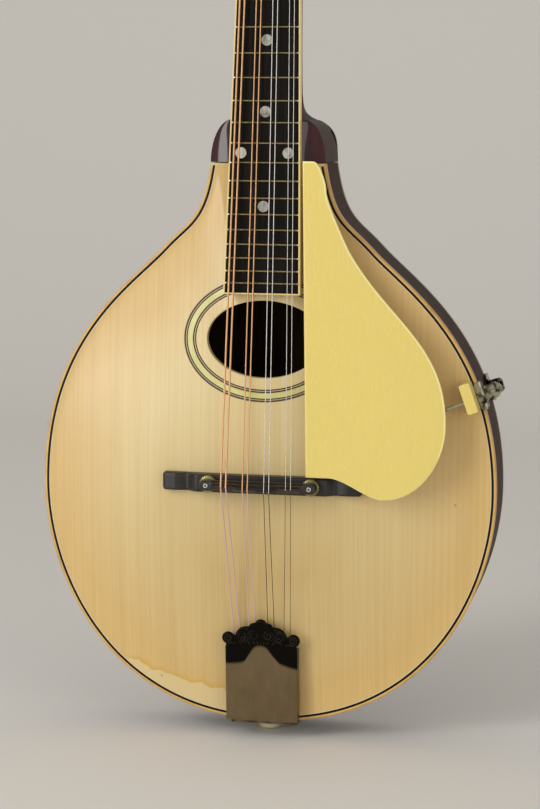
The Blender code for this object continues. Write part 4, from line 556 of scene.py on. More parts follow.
def neck_grid(crown):
    """Shaft and heel: sections down the neck. Each is a flat seat, a crowned ledge where the
    shoulders spread, and a side from an ellipse to a boxy curve, mirrored."""
    heel = JOINT_Z + 0.0380
    wide, waist, rise = SHOULDER_WIDTH / 2, HEEL_WIDTH / 2, SHOULDER_LENGTH
    start = NUT_THICKNESS + CLEAR - 0.0002
    shaft = seat_y(heel) + NECK_DEPTH_AT_HEEL
    rows = [
        (start, board_half(0) - NECK_SETBACK, seat_y(start) + HEAD_THICKNESS + 0.0004, 0, 1.0, 0),
        (-0.0140, board_half(0.0140), seat_y(-0.0140) + NECK_DEPTH_AT_NUT, 0, 1.0, 0),
        (heel, board_half(-heel), shaft, 0, 1.0, 0),
        (heel - 0.004, 0.0193, shaft + 0.0015, 0.0005, 1.0, 0),
        (JOINT_Z + 0.0300, 0.0195, shaft + 0.0090, 0.0040, 0.95, 0.1),
        (JOINT_Z + 0.0275, 0.0196, BACK_Y - 0.0100, 0.0080, 0.9, 0.3),
        (JOINT_Z + 0.0250, 0.0197, BACK_Y - 0.0010, 0.0130, 0.7, 0.6),
        (JOINT_Z + rise, waist, BACK_Y, 0.0190, 0.4, 0.8),
        (JOINT_Z + 0.0180, waist, BACK_Y, 0.0190, 0.3, 1.0),
        (JOINT_Z, waist, BACK_Y, 0.0190, 0.25, 1.0),
    ]
    rows = np.array(rows)
    above = -JOINT_Z - rise
    at = [np.linspace(-start, -heel, 30)[:-1], np.linspace(-heel, above, 26)[:-1]]
    at = np.concatenate([*at, above + rise * (1 - np.cos(np.linspace(0.03, math.pi / 2, 40)))])
    table = eased(-rows[:, 0], rows[:, 1:], at)[:, :, None]
    half, depth, floor, boxy, shoulder = (table[:, k] for k in range(5))
    z = -at[:, None]
    # The shoulders spread as a quarter of an ellipse.
    spread = np.sqrt((1 - ((z - JOINT_Z) / rise) ** 2).clip(0)) * (wide - waist)
    half, floor = half + spread, floor + spread
    top = seat_y(z)
    narrow = board_half(-z) - NECK_SETBACK
    step = top + np.maximum(0.0012, (TOP_Y - top) * shoulder)
    outer = np.maximum(narrow + 0.0001, half)
    u = np.linspace(0, 1, 15)[None]
    ledge_x = narrow + (outer - narrow) * u
    ledge_y = step - crown * shoulder * (1 - u) ** 2
    angle = np.linspace(0, math.pi / 2, 19)[None, 1:]
    side_x = floor + (outer - floor) * np.cos(angle).clip(0) ** boxy
    side_y = step + (depth - step) * np.sin(angle) ** boxy
    x = np.concatenate([narrow, narrow + 0.00005, ledge_x, side_x], 1)
    y = np.concatenate([top, step - 0.0006, ledge_y, side_y], 1)
    x = np.concatenate([x, -x[:, ::-1]], 1)
    y = np.concatenate([y, y[:, ::-1]], 1)
    return woven(x, y, z)


def head_outline(low):
    """The headstock's plan: a paddle of Bezier stretches that widens to its top, mirrored."""
    nut = np.array([NUT_WIDTH / 2, low])
    ear = np.array([HEAD_EAR_WIDTH / 2, HEAD_EAR_HEIGHT])
    corner = np.array([HEAD_WIDTH / 2, HEAD_LENGTH - 0.009])
    notch = np.array([0.62 * HEAD_WIDTH / 2, HEAD_LENGTH - 0.0035])
    peak = np.array([0.0, HEAD_LENGTH])
    anchors = [
        (nut, nut, nut + (0, 0.012)),
        (ear, ear - (0, 0.014), ear + (0, 0.01)),
        (corner, corner - (0, 0.02), corner + (0, 0.006)),
        (notch, notch + (0.006, 0), notch - (0.004, 0)),
        (peak, peak + (0.012, 0), peak),
    ]
    return mirrored(chain(anchors, (20, 16, 16, 14)))


# Strings and bridge


def string_spots():
    """Each string as its side, course, number, label and row along the headstock."""
    spots = []
    for course in range(4):
        side = -1 if course < 2 else 1
        for string in range(2):
            row = course * 2 + string if side < 0 else 7 - course * 2 - string
            label = f"{'gdae'[course]}{string + 1}"
            spots.append((side, course, string, label, FIRST_TUNER + row * TUNER_SPACING))
    return spots


def saddle_top(course):
    """Where a course crosses the saddle, as Y of its contact and Z."""
    point = placed([0, -BRIDGE_ACTION, -SCALE_LENGTH - COMPENSATION[course]], NECK_FRAME)
    return point[1], point[2]


def tail_rise():
    """How far the tailpiece's base climbs along its length to stay just over the arch."""
    share = np.linspace(0.1, 1, 10)
    z = TAIL_Z - CLEAR + share * TAIL_BASE_LENGTH
    return CLEAR + np.max((TOP_Y - top_y(np.zeros(10), z)) / share)


TAIL_RISE = float(tail_rise())
COVER_FRAME = Matrix.Translation((0, TOP_Y - COVER_LIFT, TAIL_Z + COVER_FOOT)) @ Matrix.Rotation(
    math.atan(TAIL_RISE / TAIL_BASE_LENGTH) - math.radians(1.9), 4, "X"
)


def clamp_frame():
    """A frame on the rim's edge at the clamp: X points straight out, Z runs along the edge."""
    z = BODY_Z - CLAMP_BELOW_JOINT
    right = OUTLINE[: int(np.argmin(OUTLINE[:, 1])) + 1]
    index = int(np.max(np.nonzero(right[:, 1] > z)))
    a, b = right[index], right[index + 1]
    point = a + (b - a) * (z - a[1]) / (b[1] - a[1])
    turn = math.atan2(*(a - b))
    return Matrix.Translation((point[0], TOP_Y, point[1])) @ Matrix.Rotation(turn, 4, "Y")


# Finishes

# A Mix node that mixes colours takes them at 6 and 7 and gives its result at 2.
IN_COLOUR = {"data_type": "RGBA", "out": 2}


def fill(made, values):
    """Fills a node's sockets from values or from other nodes' outputs."""
    for key, value in values.items():
        if isinstance(value, bpy.types.NodeSocket):
            made.id_data.links.new(value, made.inputs[key])
        else:
            made.inputs[key].default_value = value


def node(tree, kind, values=None, stops=(), out=0, **settings):
    """Adds a node with its settings and links, and gives one of its outputs."""
    made = tree.nodes.new("ShaderNode" + kind)
    for key, value in settings.items():
        setattr(made, key, value)
    fill(made, values or {})
    for index, (place, colour) in enumerate(stops):
        points = made.color_ramp.elements
        point = points[index] if index < 2 else points.new(place)
        point.position = place
        point.color = linear(colour) if isinstance(colour, str) else (colour, colour, colour, 1)
    return made.outputs[out]


def blank(name):
    """A new material with its tree and its shader."""
    material = bpy.data.materials.new(name)
    material.use_nodes = True
    tree = material.node_tree
    return material, tree, tree.nodes["Principled BSDF"]


def stretched(tree, scale):
    """Object coordinates scaled for a pattern, in turns per metre along each axis."""
    return node(tree, "Mapping", {0: node(tree, "TexCoord", out="Object"), "Scale": scale})


def uneven(tree, scale, detail):
    """A random pattern's value on stretched coordinates: low along a grain, high across it."""
    return node(tree, "TexNoise", {"Vector": stretched(tree, scale), "Scale": 1.0, "Detail": detail})


def spruce_top(tree):
    """Carved spruce under old ivory-tinted lacquer: cream in the middle, amber towards the edge,
    faint straight grain, a patch where the lacquer has worn pale, and a few specks."""
    look = bpy.context.scene.mandolin_looks
    share = node(tree, "Attribute", out="Fac", attribute_name="share")
    worn = node(tree, "Attribute", out="Fac", attribute_name="worn")
    # Broad clouds of about 40 mm shift the amber in and out.
    cloud = uneven(tree, (22, 22, 16), 4)
    shifted = node(tree, "Math", {0: cloud, 1: 0.22, 2: share}, operation="MULTIPLY_ADD")
    amber = node(tree, "ValToRGB", {0: shifted}, ((0.66, 0.0), (1.12, 1.0)))
    base = node(tree, "Mix", {0: amber, 6: look.spruce_middle, 7: look.spruce_edge}, **IN_COLOUR)
    # Painted shade: the lower bout is darkened, mostly below the bridge and inside the edge.
    height = node(tree, "SeparateXYZ", {0: node(tree, "TexCoord", out="Object")}, out=2)
    lower = node(tree, "MapRange", {0: height, 1: -0.30, 2: -0.43})
    inner = node(tree, "MapRange", {0: shifted, 1: 1.05, 2: 0.55})
    lower = node(tree, "Math", {0: lower, 1: inner}, operation="MULTIPLY")
    base = node(tree, "Mix", {0: lower, 6: base, 7: linear("#c9ab6e")}, **IN_COLOUR)
    # Grain lines every 1.2 mm or so, and softer bands of several years' growth.
    fine = uneven(tree, (820, 60, 5), 2)
    broad = uneven(tree, (120, 20, 2.5), 3)
    lines = node(tree, "ValToRGB", {0: fine}, ((0.35, "#dcd3c4"), (0.62, "#ffffff")))
    bands = node(tree, "ValToRGB", {0: broad}, ((0.30, "#efe6d6"), (0.70, "#ffffff")))
    for pattern in (lines, bands):
        base = node(tree, "Mix", {0: 0.22, 6: base, 7: pattern}, blend_type="MULTIPLY", **IN_COLOUR)
    # The worn patch: its edge wanders by a few millimetres, with a darker tide line outside it.
    ragged = uneven(tree, (130, 130, 130), 5)
    edge = node(tree, "Math", {0: ragged, 1: 0.006, 2: worn}, operation="MULTIPLY_ADD")
    edge = node(tree, "MapRange", {0: edge, 1: 0.0, 2: 0.010})
    tide = node(tree, "ValToRGB", {0: edge}, ((0.0, 0.0), (0.36, 0.0), (0.30, 0.7)))
    pale = node(tree, "ValToRGB", {0: edge}, ((0.32, 0.0), (0.37, 0.85)))
    base = node(tree, "Mix", {0: tide, 6: base, 7: linear("#d2a43e")}, **IN_COLOUR)
    base = node(tree, "Mix", {0: pale, 6: base, 7: linear("#dcc590")}, **IN_COLOUR)
    # Specks of about half a millimetre, far apart.
    speck = node(tree, "TexVoronoi", {"Vector": stretched(tree, (34, 34, 34)), "Scale": 1.0})
    dark = node(tree, "ValToRGB", {0: speck}, ((0.012, 0.75), (0.024, 0.0)))
    return {
        "Base Color": node(tree, "Mix", {0: dark, 6: base, 7: linear("#8c6a34")}, **IN_COLOUR),
        "Roughness": node(tree, "MapRange", {0: cloud, 1: 0.3, 2: 0.7, 3: 0.34, 4: 0.46}),
        "Coat Weight": 0.25, "Coat Roughness": 0.22,
        "Normal": node(tree, "Bump", {"Height": fine, "Strength": 0.25, "Distance": 0.00004}),
    }


def shaded_bare_wood(tree):
    """Unfinished wood inside the body, darkened as painted shade because the inside is unlit: open
    grain along Z, dark, dry and matt, so that the soundhole reads black."""
    grain = uneven(tree, (700, 700, 14), 4)
    return {
        "Base Color": node(tree, "ValToRGB", {0: grain}, ((0.3, "#1e1610"), (0.7, "#33261a"))),
        "Roughness": 0.85, "Specular IOR Level": 0.1,
        "Normal": node(tree, "Bump", {"Height": grain, "Strength": 0.4, "Distance": 0.0001}),
    }


def stained_wood(tree, tint, dark, scale, coat, shine):
    """Stained hardwood under varnish: long grain streaks seen through a clear coat, which gives
    soft windows of light where it was polished and little where it was only rubbed down."""
    grain = uneven(tree, scale, 6)
    pores = uneven(tree, [3.2 * s for s in scale], 3)
    both = node(tree, "Math", {0: grain, 1: pores}, operation="MULTIPLY")
    tone = node(tree, "MapRange", {0: both, 1: 0.12, 2: 0.42})
    return {
        "Base Color": node(tree, "Mix", {0: tone, 6: dark, 7: tint}, **IN_COLOUR),
        "Roughness": 0.45, "Specular IOR Level": shine,
        "Coat Weight": coat, "Coat Roughness": 0.07,
        "Normal": node(tree, "Bump", {"Height": pores, "Strength": 0.12, "Distance": 0.00005}),
    }


def ivoroid(tree, pale, amber, grain=0.5):
    """Grained celluloid made like ivory: fine sheets of pale and amber, warm and half glossy.
    The amber gathers at the outer edge: partly real ageing from handling and light, partly painted shade
    where the edge rounds over."""
    sheets = uneven(tree, (900, 900, 60), 2)
    cloud = uneven(tree, (90, 90, 90), 3)
    edge = node(tree, "Attribute", out="Fac", attribute_name="aged")
    lines = node(tree, "MapRange", {0: sheets, 1: 0.35, 2: 0.65, 4: grain * 0.5})
    patch = node(tree, "MapRange", {0: cloud, 1: 0.4, 2: 0.7, 4: 0.35})
    total = node(tree, "Math", {0: lines, 1: patch}, operation="ADD")
    total = node(tree, "Math", {0: total, 1: edge}, operation="ADD", use_clamp=True)
    return {
        "Base Color": node(tree, "Mix", {0: total, 6: pale, 7: amber}, **IN_COLOUR),
        "Roughness": 0.32, "Coat Weight": 0.3, "Coat Roughness": 0.15,
        "Normal": node(tree, "Bump", {"Height": sheets, "Strength": 0.1, "Distance": 0.00003}),
    }


def ebony(tree, streak, shine, scale=(520, 260, 9)):
    """Oiled ebony, scraped and handled: near black with fine brown streaks along the grain and
    a satin sheen."""
    look = bpy.context.scene.mandolin_looks
    grain = uneven(tree, scale, 5)
    tone = node(tree, "MapRange", {0: grain, 1: 0.46, 2: 0.74})
    return {
        "Base Color": node(tree, "Mix", {0: tone, 6: look.ebony, 7: streak}, **IN_COLOUR),
        "Roughness": node(tree, "MapRange", {0: grain, 1: 0.3, 2: 0.7, 3: 0.30, 4: 0.48}),
        "Specular IOR Level": shine,
        "Normal": node(tree, "Bump", {"Height": grain, "Strength": 0.3, "Distance": 0.00006}),
    }


def guard_celluloid(tree, tint, shade):
    """Cast celluloid sheet, buffed: even pale yellow with the faintest clouds, glossy, with a
    little light passing into its edge."""
    cloud = uneven(tree, (18, 18, 11), 3)
    tone = node(tree, "MapRange", {0: cloud, 1: 0.35, 2: 0.68, 4: 0.12})
    swirl = uneven(tree, (420, 420, 60), 2)
    return {
        "Base Color": node(tree, "Mix", {0: tone, 6: tint, 7: shade}, **IN_COLOUR),
        "Roughness": node(tree, "MapRange", {0: swirl, 1: 0.3, 2: 0.7, 3: 0.20, 4: 0.32}),
        "Subsurface Weight": 0.12, "Subsurface Radius": (0.004, 0.003, 0.001),
        "Coat Weight": 0.2, "Coat Roughness": 0.12,
    }


def old_metal(tree, bright, dull, rough, pits=700.0, cover=0.5):
    """Worn plate: polished metal with patches of dull tarnish and fine pits, which scatter its
    reflections."""
    patch = uneven(tree, (pits / 5,) * 3, 6)
    pit = uneven(tree, (pits,) * 3, 3)
    low, high = 0.62 - 0.3 * cover, 0.78 - 0.3 * cover
    spread = node(tree, "MapRange", {0: patch, 1: low, 2: high})
    return {
        "Base Color": node(tree, "Mix", {0: spread, 6: bright, 7: dull}, **IN_COLOUR),
        "Roughness": node(tree, "MapRange", {0: patch, 1: low, 2: high, 3: rough, 4: rough + 0.2}),
        "Metallic": 1.0,
        "Normal": node(tree, "Bump", {"Height": pit, "Strength": 0.3, "Distance": 0.00004}),
    }


def cover_nickel_painted_reflection(tree):
    """Stamped nickel plate, warm brown with age and darker still as a painted reflection: a nearly
    black painted reflection in and below the pressed crest, and brushed fine down its face."""
    look = bpy.context.scene.mandolin_looks
    where = node(tree, "TexCoord", out="Object")
    across, _, height = node(tree, "SeparateXYZ", {0: where}).node.outputs
    cloud = uneven(tree, (150, 150, 90), 5)
    brush = uneven(tree, (2600, 800, 40), 2)
    # The painted reflection's dark band: its lower edge over the cover's width is level on the bass side,
    # up to the crest in the middle, and sloping down on the treble side. White is 15 mm below the crest.
    place = node(tree, "MapRange", {0: across, 1: -TAIL_WIDTH / 2, 2: TAIL_WIDTH / 2})
    stops = ((0.0, 0.84), (1.0, 0.98), (0.26, 0.80), (0.34, 0.40), (0.42, 0.10), (0.56, 0.08),
             (0.66, 0.48), (0.76, 0.78))
    reach = node(tree, "ValToRGB", {0: place}, stops)
    reach.node.color_ramp.interpolation = "B_SPLINE"
    crest = TAIL_Z + COVER_FOOT + COVER_LOBES - CREST_BELOW_LOBES
    down = node(tree, "Math", {0: crest, 1: height}, operation="SUBTRACT")
    down = node(tree, "Math", {0: down, 1: 66.7}, operation="MULTIPLY")
    inside = node(tree, "Math", {0: reach, 1: down}, operation="SUBTRACT")
    spread = node(tree, "MapRange", {0: inside, 1: -0.06, 2: 0.06})
    tone = node(tree, "MapRange", {0: cloud, 1: 0.3, 2: 0.7})
    # The face's warm brown is tarnish, darkened further as a painted reflection of a dark brown surround.
    face = node(tree, "Mix", {0: tone, 6: look.cover, 7: linear("#85755a")}, **IN_COLOUR)
    return {
        # Painted reflection: near black mixed over the face inside the band.
        "Base Color": node(tree, "Mix", {0: spread, 6: face, 7: linear("#191714")}, **IN_COLOUR),
        "Roughness": node(tree, "MapRange", {0: brush, 1: 0.3, 2: 0.7, 3: 0.26, 4: 0.36}),
        "Metallic": 1.0,
        "Normal": node(tree, "Bump", {"Height": brush, "Strength": 0.15, "Distance": 0.00002}),
    }


def string_wire(tree, tint, dark, pitch):
    """Wound or plain wire. A wound one shows its wrap as ridges round it; the real pitch of
    0.2 mm is too fine to show and is drawn at twice that or more."""
    where = node(tree, "UVMap", uv_map="along")
    around, along, _ = node(tree, "SeparateXYZ", {0: where}).node.outputs
    turns = node(tree, "Math", {0: along, 1: 0.001 / pitch, 2: around}, operation="MULTIPLY_ADD")
    wave = node(tree, "Math", {0: turns, 1: math.tau}, operation="MULTIPLY")
    wave = node(tree, "Math", {0: wave}, operation="SINE")
    tone = node(tree, "MapRange", {0: wave, 1: -1.0, 2: 0.4})
    return {
        "Base Color": node(tree, "Mix", {0: tone, 6: dark, 7: tint}, **IN_COLOUR),
        "Roughness": 0.34, "Metallic": 1.0,
        "Normal": node(tree, "Bump", {"Height": wave, "Strength": 0.6, "Distance": 0.00006}),
    }


def silk_wrap(tree):
    """The thread that covers the tail ends of the wound strings: faded rose silk, matt, with
    its turns showing."""
    where = node(tree, "UVMap", uv_map="along")
    along = node(tree, "SeparateXYZ", {0: where}, out=1)
    wave = node(tree, "Math", {0: along, 1: 9.0}, operation="MULTIPLY")
    wave = node(tree, "Math", {0: wave}, operation="SINE")
    tone = node(tree, "MapRange", {0: wave, 1: -1.0, 2: 1.0})
    rose, faded = linear("#c09a98"), linear("#d8b6a6")
    return {
        "Base Color": node(tree, "Mix", {0: tone, 6: rose, 7: faded}, **IN_COLOUR),
        "Roughness": 0.7, "Sheen Weight": 0.4,
    }


def pearl(tree, glow):
    """Mother of pearl cut across its layers: grey and white rings with a soft shift of pink and
    green, under a hard polish."""
    layers = uneven(tree, (420, 420, 300), 4)
    stops = ((0.30, "#756d68"), (0.70, "#c2beb2"), (0.45, "#988f8c"), (0.56, "#a2a596"))
    tone = node(tree, "ValToRGB", {0: layers}, stops)
    return {
        "Base Color": node(tree, "Mix", {0: glow, 6: tone, 7: linear("#eeeadc")}, **IN_COLOUR),
        "Roughness": 0.22, "Coat Weight": 0.6, "Coat Roughness": 0.06,
    }


def dyed_line(tree, tint):
    """Dyed wood line: plain colour with a trace of fibre."""
    fibre = uneven(tree, (900, 900, 200), 3)
    tone = node(tree, "ValToRGB", {0: fibre}, ((0.3, "#d8d0c8"), (0.7, "#ffffff")))
    base = node(tree, "Mix", {0: 0.5, 6: tint, 7: tone}, blend_type="MULTIPLY", **IN_COLOUR)
    return {"Base Color": base, "Roughness": 0.45, "Specular IOR Level": 0.2}


def finish(name):
    """A finish by its plain name, made the first time that it is asked for: its maker gives
    what goes on the shader's sockets."""
    key = f"finish {name}"
    for material in bpy.data.materials:
        if material.get("finish") == key:
            return material
    look = bpy.context.scene.mandolin_looks
    title, maker, *values = {
        "spruce": ("lacquered spruce", spruce_top),
        "shaded inner wood": ("raw inner wood", shaded_bare_wood),
        "neck wood": ("varnished mahogany", stained_wood, look.neck, "#1e0506", (260, 260, 12), 0.9, 0.1),
        "heel wood": ("rubbed mahogany", stained_wood, look.sides, "#2a1612", (260, 260, 12), 0.08, 0.03),
        "side wood": ("rubbed rim wood", stained_wood, look.sides, "#2a1714", (60, 260, 60), 0.0, 0.03),
        "back wood": ("varnished back wood", stained_wood, look.back, "#2a1210", (240, 60, 14), 0.45, 0.1),
        "binding": ("ivoroid edge", ivoroid, look.binding, "#b0742a", 0.3),
        "cross binding": ("ivoroid cross strip", ivoroid, "#d2c88a", "#b5a462"),
        "back binding": ("aged back edge", ivoroid, "#9a8a52", "#6f6136"),
        "board edge": ("ivoroid board edge", ivoroid, "#f0d98c", "#e0b050", 0.3),
        "rosette ring": ("ivoroid ring", ivoroid, "#dcd890", "#c9bd6c"),
        "pin ivoroid": ("turned ivoroid", ivoroid, "#dfd6ac", "#b9a468"),
        "nut bone": ("sawn bone", ivoroid, "#e2dac0", "#c4b48c"),
        "button": ("ivoroid button", ivoroid, "#e6d9a8", "#cba858"),
        "ebony": ("oiled ebony", ebony, "#221b14", 0.07),
        "cross ebony": ("polished bridge ebony", ebony, "#2c221a", 0.55, (9, 420, 420)),
        "brown ebony": ("brown bridge ebony", ebony, "#5e4430", 0.3, (9, 900, 900)),
        "guard": ("buffed celluloid", guard_celluloid, look.guard, "#dcc670"),
        # A paler copy of the guard's celluloid, as a painted highlight on its edge.
        "guard edge highlight": ("celluloid edge", guard_celluloid, "#fbeea0", "#f2e08a"),
        "nickel": ("worn nickel", old_metal, "#b9b2a0", "#6b6350", 0.24),
        "corroded": ("corroded nickel", old_metal, "#b4ae94", "#26241c", 0.28, 1500.0, 0.60),
        "dull nickel": ("dull nickel", old_metal, "#7d705a", "#4a4132", 0.4),
        "relief": ("rubbed relief", old_metal, "#4c493f", "#23221d", 0.4, 900, 0.5),
        "bright": ("bright nickel", old_metal, "#d8d2c4", "#8d846e", 0.18, 900, 0.3),
        "brass": ("dull brass", old_metal, "#a39a6c", "#6e6742", 0.3),
        "fret": ("nickel silver", old_metal, "#a8976c", "#7b6c48", 0.26, 1200, 0.4),
        "fret end": ("filed fret end", old_metal, "#f2ece0", "#cfc6b0", 0.2),
        "cover": ("aged nickel sheet", cover_nickel_painted_reflection),
        "bronze": ("bronze winding", string_wire, "#ffd0a0", "#cf9a68", 0.00045),
        "steel": ("drawn steel", string_wire, "#d3cfca", "#c4c0ba", 0.004),
        "dark steel": ("tarnished steel", string_wire, "#6b6052", "#564b3e", 0.004),
        "silk": ("faded silk", silk_wrap),
        "pearl": ("mother of pearl", pearl, 0.0),
        "bright pearl": ("bright mother of pearl", pearl, 0.6),
        "black line": ("black line", dyed_line, "#0b0806"),
        "white line": ("pale line", dyed_line, "#e8d8b4"),
        "tan line": ("tan line", dyed_line, "#c4ae88"),
        "grey line": ("grey line", dyed_line, "#7f7768"),
    }[name]
    material, tree, shader = blank(title)
    values = [linear(v) if isinstance(v, str) else v for v in values]
    fill(shader, maker(tree, *values))
    material["finish"] = key
    return material


def redress(name, *finishes):
    """A CAD node keeps its solid and gets a better material."""
    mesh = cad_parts[name].data
    mesh.materials.clear()
    for item in finishes:
        mesh.materials.append(finish(item))


# Settings


def colour_setting(name, description, default):
    """A colour that the user can change, given as an sRGB hex value."""
    return bpy.props.FloatVectorProperty(
        name=name, description=description, default=linear(default), size=4, subtype="COLOR"
    )


def length_setting(name, description, default):
    """A size that the user can change, in metres."""
    return bpy.props.FloatProperty(name=name, description=description, default=default, unit="LENGTH")


class MandolinLooks(bpy.types.PropertyGroup):
    """Colours of the main finishes."""

    spruce_middle: colour_setting("Spruce, middle", "The top's colour in its middle", "#e3cf98")
    spruce_edge: colour_setting("Spruce, edge", "The top's colour near its edge", "#dab876")
    guard: colour_setting("Pickguard", "The celluloid's colour", "#e7d175")
    binding: colour_setting("Binding", "The top's edge strip", "#dcb462")
    ebony: colour_setting("Ebony", "Fingerboard, bridge and headstock face", "#12110e")
    neck: colour_setting("Neck", "The stain of the neck and heel", "#43080a")
    sides: colour_setting("Sides", "The stain of the rim", "#40231c")
    back: colour_setting("Back", "The stain of the back", "#5a2a20")
    # The cover's colour is tarnish darkened further as a painted reflection.
    cover: colour_setting("Tailpiece cover", "The aged nickel of the cover", "#7b6b4f")


class MandolinSizes(bpy.types.PropertyGroup):
    """Sizes of the details that the solids don't have."""

    black_line: length_setting("Black line", "Width of the purfling's black line", 0.00125)
    pale_line: length_setting("Pale line", "Width of the purfling's pale line", 0.00045)
    fret_width: length_setting("Fret width", "Width of a fret's crown", 0.0011)
    dot: length_setting("Dot", "Diameter of the fingerboard's pearl dots", 0.0062)
    crown: length_setting("Shoulder crown", "Rise of the neck's shoulders beside the board", 0.0028)
    relief: length_setting("Relief", "Height of the scrolls pressed in the tailpiece cover", 0.00035)


# Operators


class MANDOLIN_OT_top(bpy.types.Operator):
    """Builds the carved soundboard with its soundhole"""

    bl_idname = "mandolin.top"
    bl_label = "Soundboard"

    def execute(self, context):
        size = context.scene.mandolin_sizes
        edge = beside(BINDING_WIDTH + size.black_line + size.pale_line + 3 * TOUCH)
        bearing = np.arctan2(edge[:, 0], edge[:, 1] - HOLE_Z)
        grooves = (ROSETTE_INSET - TOUCH, ROSETTE_INSET + ROSETTE_WIDTH + TOUCH)
        ovals = (
            (0.0, 0.0035), (0.0, 0.0006), (0.0002, 0.0001), (0.0006, 0), (0.0020, 0), (0.0042, 0),
            (grooves[0], 0), (grooves[0], 0.0010), (grooves[1], 0.0010), (grooves[1], 0), (0.0160, 0),
        )
        rows = []
        for grow, deep in ovals:
            points = oval(grow, bearing)
            rows.append(upright(points, top_y(*points.T) + deep))
        last = oval(ovals[-1][0], bearing)
        for t in np.linspace(0, 1, 44)[1:]:
            points = last + (edge - last) * t
            rows.append(upright(points, top_y(*points.T)))
        for t in np.linspace(1, 0, 20):
            points = last + (edge - last) * t
            rows.append(upright(points, top_y(*points.T) + PLATE_THICKNESS - 0.0002))
        rows.append(upright(oval(0.0, bearing), rows[0][:, 1] + 0.0003))
        board = build("soundboard_carved", [shell(rows, wrap_rows=True)],
                      ("spruce", "shaded inner wood"), ("soundboard",))
        x, _, z = corners(board).T
        share = share_out(x, z, edge)
        mark(board, "share", share)
        # The worn patch hugs the lower bass edge: it grows towards the tailpiece, then ends.
        bearing = np.degrees(np.arctan2(-(x - ARCH_CENTRE[0]), -(z - ARCH_CENTRE[1])))
        tall = np.interp(bearing, (7, 10, 16, 24, 33, 36), (0, 0.0125, 0.0115, 0.0085, 0.0045, 0))
        reach = np.hypot(x, z - ARCH_CENTRE[1])
        from_edge = reach / np.maximum(share, 1e-6) * (1 - share)
        mark(board, "worn", np.where(tall > 0, tall - from_edge, -0.02))
        # Painted shade: the faces that look into the body get the darkened inner wood.
        recolour(board, 1, lambda centre, normal: normal[:, 1] > 0.2)
        return {"FINISHED"}


class MANDOLIN_OT_edges(bpy.types.Operator):
    """Builds the top's binding and lines, and the rosette round the soundhole"""

    bl_idname = "mandolin.edges"
    bl_label = "Binding and rosette"

    def execute(self, context):
        size = context.scene.mandolin_sizes
        section = (
            (0, TOP_Y + PLATE_THICKNESS),
            (0, TOP_Y + 0.0007),
            (0.00008, TOP_Y + 0.00035),
            (0.00025, TOP_Y + 0.00012),
            (0.0006, TOP_Y),
            (BINDING_WIDTH, TOP_Y),
            (BINDING_WIDTH, TOP_Y + PLATE_THICKNESS),
        )
        binding = build("top_binding_strip", [rail(section)],
                        ("binding", "cross binding"), ("top_binding",))
        x, _, z = corners(binding).T
        out = share_out(x, z, OUTLINE)
        reach = np.hypot(x, z - ARCH_CENTRE[1])
        inward = reach / out * (1 - out)
        # Amber on the outer 0.4 mm is partly real ageing and partly painted shade where the edge rounds over;
        # a little amber also goes on the inner edge.
        mark(binding, "aged", 0.8 * np.clip(1 - inward / 0.0004, 0, 1)
             + 0.25 * np.clip((inward - 0.0016) / 0.0004, 0, 1))
        recolour(binding, 1, lambda centre, normal: centre[:, 2] > BODY_Z - BINDING_WIDTH)
        black = BINDING_WIDTH + TOUCH
        pale = black + size.black_line + TOUCH
        deep = TOP_Y + 0.0014
        lines = [
            side_rail(strip(black, black + size.black_line, TOP_Y, deep, 0.00006), 0),
            side_rail(strip(pale, pale + size.pale_line, TOP_Y, deep, 0.00006), 1),
        ]
        build("top_purfling_lines", lines, ("black line", "white line"),
              ("top_purfling",))
        self.rosette()
        return {"FINISHED"}

    def rosette(self):
        """Strips side by side round the hole, flush with the top: dark and tan lines on each
        side of the wide ivoroid ring."""
        bearing = np.arange(200) * math.tau / 200
        bands = (
            (0.00058, 1), (0.00062, 2), (0.00058, 1), (0.00032, 2),
            (0.00285, 0),
            (0.00055, 1), (0.00060, 2), (0.00050, 1), (0.00040, 3),
        )
        start = ROSETTE_INSET
        shells = []
        for width, slot in bands:
            far = start + width - TOUCH / 2
            rows = []
            for grow, deep in strip(start, far, -0.00003, 0.0009, 0.00004):
                points = oval(grow, bearing)
                rows.append(upright(points, top_y(*points.T) + deep))
            shells.append(shell(rows, slot, wrap_rows=True))
            start += width
        names = ("rosette ring", "black line", "tan line", "grey line")
        build("rosette_rings", shells, names, ("rosette",))


